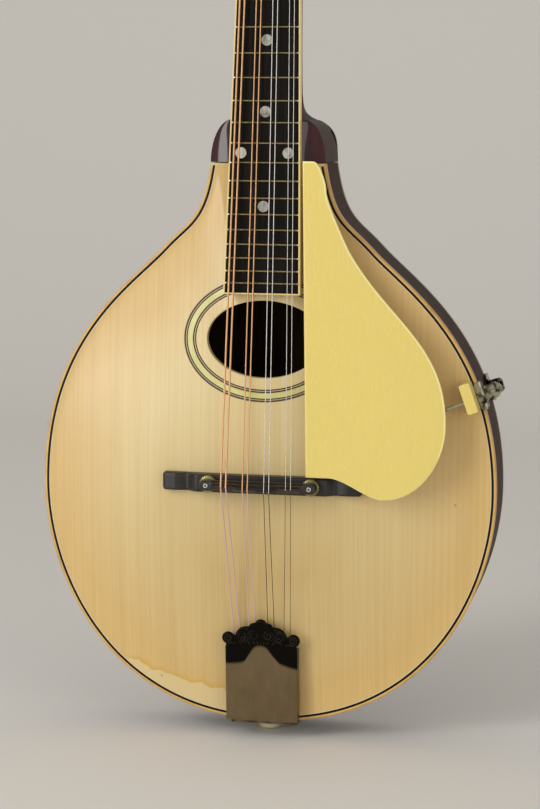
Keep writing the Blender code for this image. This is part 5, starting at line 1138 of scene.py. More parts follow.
class MANDOLIN_OT_sides(bpy.types.Operator):
    """Builds the bent rim, the carved back and its edge strip"""

    bl_idname = "mandolin.sides"
    bl_label = "Rim and back"

    def execute(self, context):
        low = TOP_Y + PLATE_THICKNESS + TOUCH
        high = BACK_Y - PLATE_THICKNESS - TOUCH
        section = [(0, y) for y in np.linspace(low, high, 9)] + [(RIM_WALL, high), (RIM_WALL, low)]
        bent = side_rail(section, offset=lambda far: inset(OUTLINE, far))
        build("rim_bent", [bent], ("side wood",), ("rim",))
        rows = [np.tile([ARCH_CENTRE[0], BACK_Y + BACK_ARCH, ARCH_CENTRE[1]], (len(BACK_EDGE), 1))]
        for share in np.linspace(0, 1, 40)[1:]:
            points = ARCH_CENTRE + (BACK_EDGE - ARCH_CENTRE) * share
            rows.append(upright(points, BACK_Y + arch_rise(share, BACK_ARCH)))
        for share in np.linspace(1, 0, 16):
            points = ARCH_CENTRE + (BACK_EDGE - ARCH_CENTRE) * share
            rows.append(upright(points, BACK_Y - PLATE_THICKNESS + arch_rise(share, BACK_ARCH)))
        back = build("back_carved", [shell(rows, capped=False)],
                     ("back wood", "shaded inner wood"), ("back_plate",))
        # Painted shade: the faces that look into the body get the darkened inner wood.
        recolour(back, 1, lambda centre, normal: normal[:, 1] < -0.2)
        front = BACK_Y - PLATE_THICKNESS
        section = (
            (0, front), (BACK_BINDING_WIDTH - TOUCH, front), (BACK_BINDING_WIDTH - TOUCH, BACK_Y),
            (0.0005, BACK_Y), (0.00015, BACK_Y - 0.0001), (0, BACK_Y - 0.0005),
        )
        build("back_binding_strip", [rail(section)], ("back binding",), ("back_binding",))
        return {"FINISHED"}


class MANDOLIN_OT_inside(bpy.types.Operator):
    """Gives the blocks, linings and brace inside the body their raw wood, darkened as painted shade"""

    bl_idname = "mandolin.inside"
    bl_label = "Inside"

    def execute(self, context):
        for name in ("head_block", "tail_block", "top_lining", "back_lining", "soundhole_brace"):
            redress(name, "shaded inner wood")
        return {"FINISHED"}


class MANDOLIN_OT_neck(bpy.types.Operator):
    """Builds the neck with its heel, its extension over the body, the headstock and heel cap"""

    bl_idname = "mandolin.neck"
    bl_label = "Neck and headstock"

    def execute(self, context):
        wood = ("neck wood",)
        shaft = shell(neck_grid(context.scene.mandolin_sizes.crown))
        neck = build("neck_shaft", [shaft], (*wood, "heel wood"), ("neck",))
        recolour(neck, 1, lambda centre, normal: normal[:, 1] > -0.45)
        self.extension(wood)
        core = slab(head_outline(-0.007), sheet_levels(0, HEAD_THICKNESS, 0.0008))
        build("headstock_core", [core], ("heel wood",), ("neck",), matrix=HEAD_FRAME)
        levels = sheet_levels(-VENEER_THICKNESS - CLEAR, -TOUCH, 0.0003)
        face = slab(head_outline(0.0005), levels)
        build("headstock_face", [face], ("ebony",), ("headstock_veneer",),
              matrix=HEAD_FRAME)
        half = SHOULDER_WIDTH / 2 - NECK_SETBACK
        angle = np.linspace(0, math.pi, 33)
        across = np.sign(np.cos(angle)) * np.abs(np.cos(angle)) ** 0.57 * half
        cap = np.stack([across, JOINT_Z + HEEL_CAP_LENGTH * np.sin(angle).clip(0) ** 0.57], -1)
        levels = sheet_levels(BACK_Y + TOUCH, BACK_Y + CLEAR + 0.0015, 0.0003)
        names = ("ebony", "back binding")
        plate = build("heel_cap_plate", [slab(cap, levels)], names, ("heel_cap",))
        recolour(plate, 1, lambda centre, normal: np.abs(normal[:, 1]) < 0.5)
        return {"FINISHED"}

    def extension(self, wood):
        """The wedge between the board and the arch: each row is a bar whose lower corners
        follow the top."""
        end = -BOARD_LENGTH * math.cos(NECK_ANGLE) + 0.0045
        z = np.linspace(JOINT_Z + 0.001, end, 30)[:, None]
        half = board_half(-z) - NECK_SETBACK
        across = np.linspace(-1, 1, 13)[None]
        x = half * across
        low = top_y(x, np.broadcast_to(z, x.shape)) + 0.0006
        x = np.concatenate([half, -half, x], 1)
        y = np.concatenate([seat_y(z), seat_y(z), low], 1)
        build("neck_extension", [shell(woven(x, y, z))], wood, ("neck",))


class MANDOLIN_OT_fingerboard(bpy.types.Operator):
    """Builds the fingerboard with its frets, dots and edge strip, and the nut"""

    bl_idname = "mandolin.fingerboard"
    bl_label = "Fingerboard"

    def execute(self, context):
        size = context.scene.mandolin_sizes
        edge = BOARD_BINDING + TOUCH
        near, far = board_half(0) - edge, board_half(BOARD_LENGTH) - edge
        plan = np.array([(near, 0), (far, edge - BOARD_LENGTH), (-far, edge - BOARD_LENGTH), (-near, 0)])
        levels = ((0, 0.0002), (0, 0.00005), (0.00005, 0), (BOARD_THICKNESS, 0), (BOARD_THICKNESS, 0.0002))
        build("fingerboard_blank", [slab(plan, levels)], ("ebony",), ("fingerboard",),
              matrix=NECK_FRAME)
        self.frets(size.fret_width)
        self.dots(size.dot)
        self.edge_strip()
        self.nut()
        return {"FINISHED"}

    def frets(self, width):
        """Each fret is a half oval crown carried across the board, shrinking at its filed ends."""
        angle = np.linspace(0, math.pi, 11)
        crown = np.stack([width / 2 * np.cos(angle), -0.0009 * np.sin(angle) ** 0.8], -1)
        crown = np.concatenate([crown, [(-width / 2, 0.0008), (width / 2, 0.0008)]])
        bars, ends = [], []
        for number in range(1, FRET_COUNT + 1):
            place = fret_at(number)
            reach = board_half(place) - 0.0004
            inner = reach - 0.0011
            size = np.array([1.0, 1.0])
            bars.append(shell(self.bar((-inner, inner), size, crown, place)))
            share = np.linspace(0, 1, 7)
            small = np.sqrt(1 - (0.94 * share) ** 2)
            for side in (-1, 1):
                x = side * (inner + (reach - inner) * share)
                ends.append(shell(self.bar(x, small, crown, place), 1))
        build("frets", bars + ends, ("fret", "fret end"), ("fingerboard",),
              matrix=NECK_FRAME)

    def bar(self, x, size, crown, place):
        """A crown at each x, scaled in height and width."""
        x, size = np.asarray(x, float)[:, None], np.asarray(size)[:, None]
        z = crown[None, :, 0] * size - place
        y = np.where(crown[None, :, 1] < 0, crown[None, :, 1] * size, crown[None, :, 1])
        return woven(x, y, z)

    def dots(self, diameter):
        """Discs let into the board, a hair proud."""
        radius = diameter / 2
        profile = ((0, -0.00005), (radius - 0.0003, -0.00005), (radius, 0.00001), (radius, 0.0008),
                   (0, 0.0008))
        shells = []
        for number, x in DOTS:
            middle = (fret_at(number) + fret_at(number - 1)) / 2
            lay = Matrix.Translation((x, 0, -middle)) @ Matrix.Rotation(-math.pi / 2, 4, "X")
            shells.append(shell(turned(profile, 40, lay), int(x < 0), capped=False))
        build("fingerboard_dots", shells, ("pearl", "bright pearl"),
              ("fingerboard",), matrix=NECK_FRAME)

    def edge_strip(self):
        """A strip down one side, across the end and up the other, with a rounded front edge."""
        near, far = board_half(0), board_half(BOARD_LENGTH)
        corner = 0.0006
        path = np.array([
            (near, 0), (far, corner - BOARD_LENGTH), (far - 0.3 * corner, 0.3 * corner - BOARD_LENGTH),
            (far - corner, -BOARD_LENGTH),
        ])
        path = mirrored(np.concatenate([path, [(0, -BOARD_LENGTH)]]))
        ring_path = np.concatenate([path, [(-near + 0.001, 0.001), (near - 0.001, 0.001)]])
        loops = []
        for deep, y in strip(0, BOARD_BINDING, 0.00003, BOARD_THICKNESS, 0.00025):
            loops.append(upright(inset(ring_path, deep)[: len(path)], y))
        grid = np.stack(loops, 1)
        grid[[0, -1], :, 2] = 0
        build("fingerboard_edge", [shell(grid)], ("board edge",), ("fingerboard_binding",),
              matrix=NECK_FRAME)

    def nut(self):
        """The nut: a rounded block whose front face climbs to the crest, with a groove where
        each string lies."""
        half = NUT_WIDTH / 2
        x = np.unique(np.concatenate([np.linspace(-half, half, 90)] + [
            NUT_COURSES[c] + s * NUT_PAIR / 2 + STRING_DIAMETERS[c] * np.linspace(-0.9, 0.9, 9)
            for c in range(4) for s in (-1, 1)
        ]))
        dip = np.zeros(len(x))
        for course in range(4):
            radius = STRING_DIAMETERS[course] / 2 + 0.00008
            for side in (-1, 1):
                off = x - NUT_COURSES[course] - side * NUT_PAIR / 2
                dip = np.maximum(dip, 0.0008 * np.clip(1.6 * (1 - (off / (1.7 * radius)) ** 2), 0, 1))
        tall = NUT_ACTION + 0.0008 - dip
        soft = 0.0005 * np.clip((np.abs(x) - half + 0.0006) / 0.0006, 0, 1) ** 2
        tall = tall - soft
        y = np.stack([np.full(len(x), BOARD_THICKNESS), -0.6 * tall, -0.92 * tall, -tall, -tall,
                      -0.85 * tall, np.full(len(x), 0.0004), np.full(len(x), BOARD_THICKNESS)], 1)
        z = np.array([TOUCH, TOUCH, 0.0002, 0.0006, 0.0018, 0.0026, NUT_THICKNESS, NUT_THICKNESS])
        grid = woven(x[:, None], y, z)
        build("nut_carved", [shell(grid)], ("nut bone",), ("nut",),
              matrix=NECK_FRAME)


class MANDOLIN_OT_bridge(bpy.types.Operator):
    """Builds the bridge: base, posts, thumbwheels and saddle"""

    bl_idname = "mandolin.bridge"
    bl_label = "Bridge"

    def execute(self, context):
        base_top = TOP_Y - TOP_ARCH - CLEAR - BRIDGE_BASE_HEIGHT
        self.base(base_top)
        saddle_low = base_top - CLEAR - THUMBWHEEL_THICKNESS - CLEAR
        lobe_top = saddle_low - SADDLE_LOBE_HEIGHT
        radius = POST_DIAMETER / 2
        for side, name in ((-1, "bass"), (1, "treble")):
            x = side * POST_SPACING / 2
            place = Matrix.Translation((x, 0, BRIDGE_Z)) @ Matrix.Rotation(math.pi / 2, 4, "X")
            pitch = 0.0006
            low, high = -base_top - 0.003, -lobe_top - 0.0001
            height = np.arange(low, high, pitch / 4)
            ridge = radius - 0.00018 * (0.5 + 0.5 * np.cos(height / pitch * math.tau))
            profile = [(0, low), *zip(ridge, height), (radius - 0.0002, high), (radius * 0.7, high + 0.0002)]
            slot_floor = [(0.0006, high + 0.0002), (0.0005, high - 0.0004), (0, high - 0.0004)]
            post = shell(turned(profile + slot_floor, 28, place), capped=False)
            build(f"bridge_post_{name}_threaded", [post], ("bright",),
                  (f"bridge_post_{name}",))
            self.wheel(name, place, -base_top + CLEAR)
        self.saddle(saddle_low, lobe_top)
        return {"FINISHED"}

    def base(self, base_top):
        """The base: sections along X. Height runs from a level centre block through a scoop to
        a rounded wing, and each section is a box with soft upper corners on the arch."""
        half = BRIDGE_LENGTH / 2
        centre = POST_SPACING / 2 + THUMBWHEEL_DIAMETER / 2 + 0.0020
        stops = (0, centre, centre + 0.0030, centre + 0.0065, centre + 0.0095, centre + 0.0125,
                 half - 0.0080, half - 0.0018, half - 0.0006, half)
        heights = (BRIDGE_BASE_HEIGHT, BRIDGE_BASE_HEIGHT, 0.0048, BRIDGE_SCOOP_HEIGHT,
                   0.85 * BRIDGE_WING_HEIGHT, 0.96 * BRIDGE_WING_HEIGHT, BRIDGE_WING_HEIGHT,
                   0.92 * BRIDGE_WING_HEIGHT, 0.80 * BRIDGE_WING_HEIGHT, 0.60 * BRIDGE_WING_HEIGHT)
        tip = half - 0.002 * np.linspace(1, 0, 9)[1:] ** 2
        right = np.concatenate([np.linspace(0, half - 0.002, 70), tip])
        height = eased(stops, np.array(heights)[:, None], right)[:, 0]
        x = np.concatenate([-right[:0:-1], right])
        height = np.concatenate([height[:0:-1], height])
        on_arch = top_y(x, np.full(len(x), BRIDGE_Z)) - CLEAR - height
        level = base_top + BRIDGE_BASE_HEIGHT - height
        share = np.clip((np.abs(x) - POST_SPACING / 2 - THUMBWHEEL_DIAMETER + 0.002) / 0.004, 0, 1)
        top = level + (on_arch - level) * share
        taper = np.sqrt(np.clip(1 - (np.clip(np.abs(x) - half + 0.0016, 0, 1) / 0.0018) ** 2, 0.05, 1))
        width = BRIDGE_WIDTH / 2 * (0.62 + 0.38 * taper)
        angle = np.linspace(0, math.pi / 2, 6)
        corner = 0.0013
        across = np.concatenate([[1.0], 1 - corner / 0.005 * (1 - np.cos(angle))])
        down = np.concatenate([[0.0], corner * (1 - np.sin(angle))])
        z = BRIDGE_Z + width[:, None] * np.concatenate([across, -across[::-1]])[None]
        y = top[:, None] + np.concatenate([down, down[::-1]])[None]
        floor = top_y(np.broadcast_to(x[:, None], z.shape), z) + 0.0002
        y[:, 0], y[:, -1] = floor[:, 0], floor[:, -1]
        grid = woven(x[:, None], y, z)
        build("bridge_base_carved", [shell(grid)], ("cross ebony",), ("bridge_base",))

    def wheel(self, name, place, low):
        """A thumbwheel: a disc whose edge radius dips at each of its notches."""
        angle = np.linspace(0, math.tau, 144, endpoint=False)
        notch = np.clip(np.cos(angle * 24) * 1.6, -1, 1) * 0.5 + 0.5
        rows = []
        levels = ((0, 0.0000), (0.0012, 0), (0.0034, 0), (0.0044, 0.0001), (0.0049, 0.0005),
                  (0.0049, 0.0017), (0.0044, 0.0021), (0.0034, 0.0022), (0.0012, 0.0022), (0, 0.0022))
        for radius, height in levels:
            reach = radius - (0.00035 * notch if radius > 0.0046 else 0.0)
            reach = np.broadcast_to(reach, angle.shape)
            rows.append(woven(reach * np.cos(angle), reach * np.sin(angle), low + height))
        disc = shell(placed(rows, place), capped=False)
        build(f"thumbwheel_{name}_notched", [disc], ("brass",), (f"thumbwheel_{name}",),
              body=f"thumbwheel_{name}")

    def saddle(self, low, lobe_top):
        """The saddle: sections along X between its round lobes. Its crest moves to and fro with
        the courses, and both faces slope from the body up to it."""
        half, end = SADDLE_WIDTH / 2, SADDLE_LENGTH / 2
        rise_at = POST_SPACING / 2 - POST_DIAMETER / 2 - 0.0022
        contact = np.array([saddle_top(c)[0] for c in range(4)])
        line = np.array([saddle_top(c)[1] for c in range(4)])
        line = np.maximum(line, BRIDGE_Z - half + 0.0008)
        between = [0.5 * (a + b) for a, b in zip(BRIDGE_COURSES, BRIDGE_COURSES[1:])]
        x = np.unique(np.concatenate([
            np.linspace(-end, end, 90), end - half * (1 - np.cos(np.linspace(0, math.pi / 2, 12))),
            -end + half * (1 - np.cos(np.linspace(0, math.pi / 2, 12))),
        ]))
        stops, crest_z, crest_y = [-end], [line[0]], [contact[0]]
        for k, edge in enumerate(between):
            stops += [edge - 0.0008, edge + 0.0008]
            crest_z += [line[k], line[k + 1]]
            crest_y += [contact[k], contact[k + 1]]
        stops.append(end)
        crest_z.append(line[3])
        crest_y.append(contact[3])
        ridge_z = np.interp(x, stops, crest_z)
        ridge_y = np.interp(x, stops, crest_y) + TOUCH
        lift = np.clip((rise_at + 0.0012 - np.abs(x)) / 0.0034, 0, 1)
        lift = lift**2 * (3 - 2 * lift)
        crest = lobe_top + (ridge_y - lobe_top) * lift
        wide = half * np.sqrt(np.clip(1 - (np.clip(np.abs(x) - end + half, 0, half) / half) ** 2, 0.0004, 1))
        ridge_z = BRIDGE_Z + (ridge_z - BRIDGE_Z) * lift
        flat = 0.0005 * lift + (wide - 0.0006).clip(0.0001) * (1 - lift)
        side = lobe_top - 0.0002 * (1 - lift)
        front, back = ridge_z + flat, ridge_z - flat
        front, back = np.minimum(front, BRIDGE_Z + wide - 0.0002), np.maximum(back, BRIDGE_Z - wide + 0.0002)
        arch_low = low - 0.0006 * np.clip((0.4 * rise_at + 0.004 - np.abs(x)) / 0.004, 0, 1)
        z = np.stack([BRIDGE_Z - wide, BRIDGE_Z - wide, back, back + 0.3 * flat, front - 0.3 * flat,
                      front, BRIDGE_Z + wide, BRIDGE_Z + wide], 1)
        y = np.stack([arch_low, side + 0.0008, crest + 0.00012, crest, crest, crest + 0.00012,
                      side + 0.0008, arch_low], 1)
        grid = woven(x[:, None], y, z)
        piece = build("bridge_saddle_carved", [shell(grid)], ("cross ebony", "brown ebony"),
                      ("bridge_saddle",), body="saddle", sharp=28)
        recolour(piece, 1, lambda centre, normal: (
            (np.abs(centre[:, 0]) < rise_at) & (np.abs(normal[:, 2]) > 0.3) & (normal[:, 1] < -0.15)
        ))


class MANDOLIN_OT_tailpiece(bpy.types.Operator):
    """Builds the tailpiece cover with its pressed crest, and the end pin"""

    bl_idname = "mandolin.tailpiece"
    bl_label = "Tailpiece"

    def execute(self, context):
        height = context.scene.mandolin_sizes.relief
        shells = [shell(self.sheet())]
        for side in (-1, 1):
            boss = ((0, -0.0005), (0.0014, -0.00045), (0.0029, -0.0003), (0.0034, -0.0001),
                    (0.0036, 0.0002), (0.0036, 0.0006), (0, 0.0006))
            place = Matrix.Translation((side * (TAIL_WIDTH / 2 - 0.0020), 0, COVER_LOBES))
            place = place @ Matrix.Rotation(-math.pi / 2, 4, "X")
            shells.append(shell(turned(boss, 40, place), capped=False))
        shells += self.scrolls(height)
        build("tailpiece_cover_pressed", shells, ("cover", "relief"),
              ("tailpiece_cover",), body="cover", matrix=COVER_FRAME)
        redress("tailpiece_base", "dull nickel")
        self.pin()
        return {"FINISHED"}

    def half_width(self, z):
        """Half the sheet's width at a height: straight sides, then the widest of three circles
        that make the crest's outer arc, its step and its crown."""
        half = TAIL_WIDTH / 2
        width = np.full(len(z), 0.00002)
        circles = ((0.0082, 0.0484, 0.0065), (0.0040, 0.0542, 0.0029), (0, 0.0560, 0.0034))
        for middle, height, radius in circles:
            inside = radius**2 - (z - height) ** 2
            reach = middle + np.sqrt(inside.clip(0))
            width = np.maximum(width, np.where(inside > 0, reach, 0))
        straight = np.where(z < 0.0495, half - 0.0008 * np.clip((z - 0.0425) / 0.003, 0, 1), 0)
        return np.maximum(width, straight)

    def sheet(self):
        """The sheet: at each height, its front runs from one wall's foot round the edge and
        across to the other, and its back returns one thickness behind."""
        z = np.concatenate([
            np.linspace(0, COVER_SIDES, 30), np.linspace(COVER_SIDES, 0.0494, 14)[1:],
            np.linspace(0.0496, 0.0548, 16), np.linspace(0.0550, 0.0570, 9),
            0.0572 + 0.0022 * np.sin(np.linspace(0, math.pi / 2, 12)),
        ])
        width = self.half_width(z)[:, None]
        wall = COVER_WALL * np.clip(1 - (z - COVER_SIDES) / 0.0012, 0.0, 1)[:, None]
        wall = np.maximum(wall, COVER_SHEET + 0.0001)
        bend = 0.0011
        angle = np.linspace(0, math.pi / 2, 7)[None]
        inner = np.linspace(1, -1, 25)[None, 1:-1]

        def side(x_out, t):
            turn = np.minimum(bend - t, width * 0.5)
            x = x_out - t - turn + turn * np.cos(angle)
            y = t + turn - turn * np.sin(angle)
            foot_x, foot_y = x_out - t + 0 * angle[:, :1], np.maximum(wall, t + turn)
            return np.concatenate([foot_x, x], 1), np.concatenate([foot_y, y], 1)

        rows = []
        for t in (0.0, COVER_SHEET):
            x, y = side(width, t)
            middle = x[:, -1:] * inner
            rows.append((np.concatenate([x, middle, -x[:, ::-1]], 1),
                         np.concatenate([y, np.full_like(middle, t), y[:, ::-1]], 1)))
        (x1, y1), (x2, y2) = rows
        x = np.concatenate([x1, x2[:, ::-1]], 1)
        y = np.concatenate([y1, y2[:, ::-1]], 1)
        return woven(x, y, z[:, None])

    def scrolls(self, height):
        """The pressed ornament: thin half-round ridges that follow spirals, arcs and short
        leaves, mirrored about the middle."""
        turns = np.linspace(0, 1, 46)
        paths = []

        def spiral(cx, cz, start, radius, loops):
            angle = math.radians(start) + turns * math.tau * loops
            reach = radius * (1 - 0.84 * turns)
            return np.stack([cx + reach * np.cos(angle), cz + reach * np.sin(angle)], -1)

        paths.append(spiral(0.0042, 0.0500, -60, 0.0033, 1.9))
        paths.append(spiral(0.0098, 0.0478, 150, 0.0022, 1.4))
        paths.append(spiral(0.0184, 0.0481, 220, 0.0027, 2.0))
        arc = np.radians(np.linspace(100, -8, 46))
        for step in (0.0011, 0.0021):
            reach = 0.0065 - step
            paths.append(np.stack([0.0082 + reach * np.cos(arc), 0.0484 + reach * np.sin(arc)], -1))
        arc = np.radians(np.linspace(168, 12, 46))
        paths.append(np.stack([0.0024 * np.cos(arc), 0.0560 + 0.0024 * np.sin(arc)], -1))
        arc = np.radians(np.linspace(250, 30, 46))
        paths.append(np.stack([0.0116 + 0.0030 * np.cos(arc), 0.0492 + 0.0030 * np.sin(arc)], -1))
        low = np.linspace(0.0138, 0.0188, 24)
        paths.append(np.stack([low, 0.0452 - 40 * (low - 0.0165) ** 2], -1))
        for x, tilt in ((0.0, 0.0), (0.0016, 0.25), (0.0034, 0.5), (0.0062, 0.8), (0.0112, 0.6)):
            t = np.linspace(0, 1, 12)
            paths.append(np.stack([x + 0.0016 * t * tilt, 0.0447 + 0.0018 * t], -1))
        section = np.array([(0.00022, 0.0002), (0.0002, -height * 0.6), (0.0001, -height),
                            (-0.0001, -height), (-0.0002, -height * 0.6), (-0.00022, 0.0002)])
        shells = []
        for path in paths:
            for side in (1, -1):
                size = np.sin(np.linspace(0.25, math.pi - 0.25, len(path))) ** 0.4
                boss = np.hypot(path[:, 0] - TAIL_WIDTH / 2 + 0.0020, path[:, 1] - COVER_LOBES)
                rise = np.interp(boss, (0.0014, 0.0029, 0.0036), (-0.00045, -0.0003, 0))
                line = sweep(upright(path * (side, 1), rise), section * (1, -1), (0, -1, 0), size=size)
                shells.append(shell(line, 1))
        return shells

    def pin(self):
        """The end pin: a turned button with a soft rim, a neck and a shank."""
        low = -TAIL_BASE_THICKNESS - 2 * CLEAR
        head = 0.0066
        profile = [
            (0, 0.018), (0.0029, 0.018), (0.0034, -0.0004), (0.0033, low - 0.0006),
            (0.0036, low - 0.0012), (0.0050, low - 0.0018), (0.0060, low - 0.0023),
            (head - 0.0001, low - 0.0030), (head, low - 0.0036), (0.98 * head, low - 0.0044),
            (0.92 * head, low - 0.0051), (0.82 * head, low - 0.0057), (0.70 * head, low - 0.0061),
            (0.55 * head, low - 0.0062), (0, low - 0.0062),
        ]
        place = Matrix.Translation((0, TOP_Y + END_PIN_DEPTH, TAIL_Z))
        build("end_pin_turned", [shell(turned(profile, 48, place), capped=False)],
              ("pin ivoroid",), ("end_pin",))


class MANDOLIN_OT_guard(bpy.types.Operator):
    """Builds the pickguard with its block, rod and pin"""

    bl_idname = "mandolin.guard"
    bl_label = "Pickguard"

    def execute(self, context):
        outline = self.outline()
        levels = (
            (0, 0.0020), (0, 0.0009), (0.00012, 0.00045), (0.0004, 0.00012), (0.0008, 0),
            (GUARD_THICKNESS - 0.0003, 0), (GUARD_THICKNESS, 0.0003), (GUARD_THICKNESS, 0.0012),
        )
        plate = np.array([upright(inset(outline, far), y) for y, far in levels])
        plate[..., 1] += self.face_y(plate[..., 2])
        z = JOINT_Z - 0.0120
        back = self.face_y(z) + GUARD_THICKNESS
        near = self.inner_x(z) + 2 * CLEAR
        lug = rounded(0.0045, 0.0036, 0.0006) + (near + 0.00225, z)
        lug = slab(lug, ((back - 0.0004, 0), (back + 0.0027, 0), (back + 0.0030, 0.0003),
                         (back + 0.0030, 0.0008)))
        piece = build("pickguard_plate", [shell(plate), lug], ("guard", "guard edge highlight"),
                      ("pickguard",), sharp=30)
        # Painted highlight: the bevels and sides of the outer edge get the paler edge finish.
        recolour(piece, 1, lambda centre, normal: (
            (normal[:, 1] > -0.97) & (normal[:, 1] < 0.3)
            & (centre[:, 0] > self.inner_x(centre[:, 2]) + 0.002)
        ))
        redress("guard_pin", "nickel")
        self.block()
        return {"FINISHED"}

    def inner_x(self, z):
        """The straight edge beside the fingerboard and the strings."""
        top = board_half(-JOINT_Z) + 0.0013
        low = BRIDGE_COURSES[3] + 0.0085
        return top + (low - top) * (z - JOINT_Z) / (BRIDGE_Z - JOINT_Z)

    def face_y(self, z):
        """The plate's front face: a plane from beside the board to close behind its line at
        the bridge."""
        top = JOINT_Z * math.tan(NECK_ANGLE) - 0.0005
        low = BRIDGE_Z * math.tan(NECK_ANGLE) + 0.0022
        return top + (low - top) * (z - JOINT_Z) / (BRIDGE_Z - JOINT_Z)

    def outline(self):
        """The plate's plan: straight down the strings, then Bezier stretches round the foot and
        belly and up to the neck."""
        top = JOINT_Z + 0.0010
        foot, toe, belly = (
            np.array([x, BRIDGE_Z + z]) for x, z in ((0.0389, 0.0060), (0.0689, -0.0049), (0.1023, 0.0353))
        )
        waist, neck, corner = (
            np.array([x, JOINT_Z + z]) for x, z in ((0.0476, -0.0470), (0.0344, -0.0152), (0.0272, 0.0009))
        )
        along = polar(math.radians(30.8), 1)
        up, out = np.array([0, 1.0]), np.array([1.0, 0])
        fall, climb = (belly[1] - toe[1]) / 2, (waist[1] - belly[1]) / 2
        run = toe[0] - foot[0]
        anchors = [
            (foot, foot, foot + out * 0.3 * run),
            (toe, toe - out * 0.3 * run, toe + out * 0.59 * (belly[0] - toe[0])),
            (belly, belly - up * 0.96 * fall, belly + up * 0.96 * climb),
            (waist, waist + along * 0.94 * climb, waist - along * 0.01 * climb),
            (neck, neck - up * 0.0060, neck + up * 0.0048),
            (corner, corner + out * 0.0030, corner),
        ]
        curve = chain(anchors, (14, 26, 40, 14, 14))
        inner = np.linspace(top, foot[1], 24)
        inner = np.stack([self.inner_x(inner), inner], -1)
        return np.concatenate([inner, curve])

    def block(self):
        """The celluloid block on the rim and the rod from it to the plate's back."""
        place = clamp_frame()
        x0, y0 = -CLAMP_LIP - CLEAR, -CLEAR - 0.0004
        plan = rounded(BLOCK_WIDTH, BLOCK_LENGTH, 0.0012, 6) + (x0 - BLOCK_WIDTH / 2, 0.0015)
        body = slab(plan, sheet_levels(y0 - BLOCK_HEIGHT, y0, 0.0003))
        build("guard_block_cut", [body], ("guard",), ("guard_block",),
              matrix=place)
        radius = 0.0010
        face = np.array([x0 - BLOCK_WIDTH, y0 - BLOCK_HEIGHT + 0.0022, 0])
        end_x = face[0] - 0.0220
        under = placed([end_x, 0, 0], place)
        end = np.array([end_x, self.face_y(under[2]) + GUARD_THICKNESS - TOP_Y + CLEAR + 1.1 * radius, 0])
        along = (face - end) / np.linalg.norm(face - end)
        length = np.linalg.norm(face - end) + 0.0028
        path = end + along * np.linspace(0, length, 60)[:, None]
        size = 1 - 0.06 * (np.arange(60) % 2)
        rod = shell(sweep(path, ring(20, radius), (0, 0, 1), size=size))
        build("guard_rod_threaded", [rod], ("corroded",), ("guard_rod",),
              matrix=place)


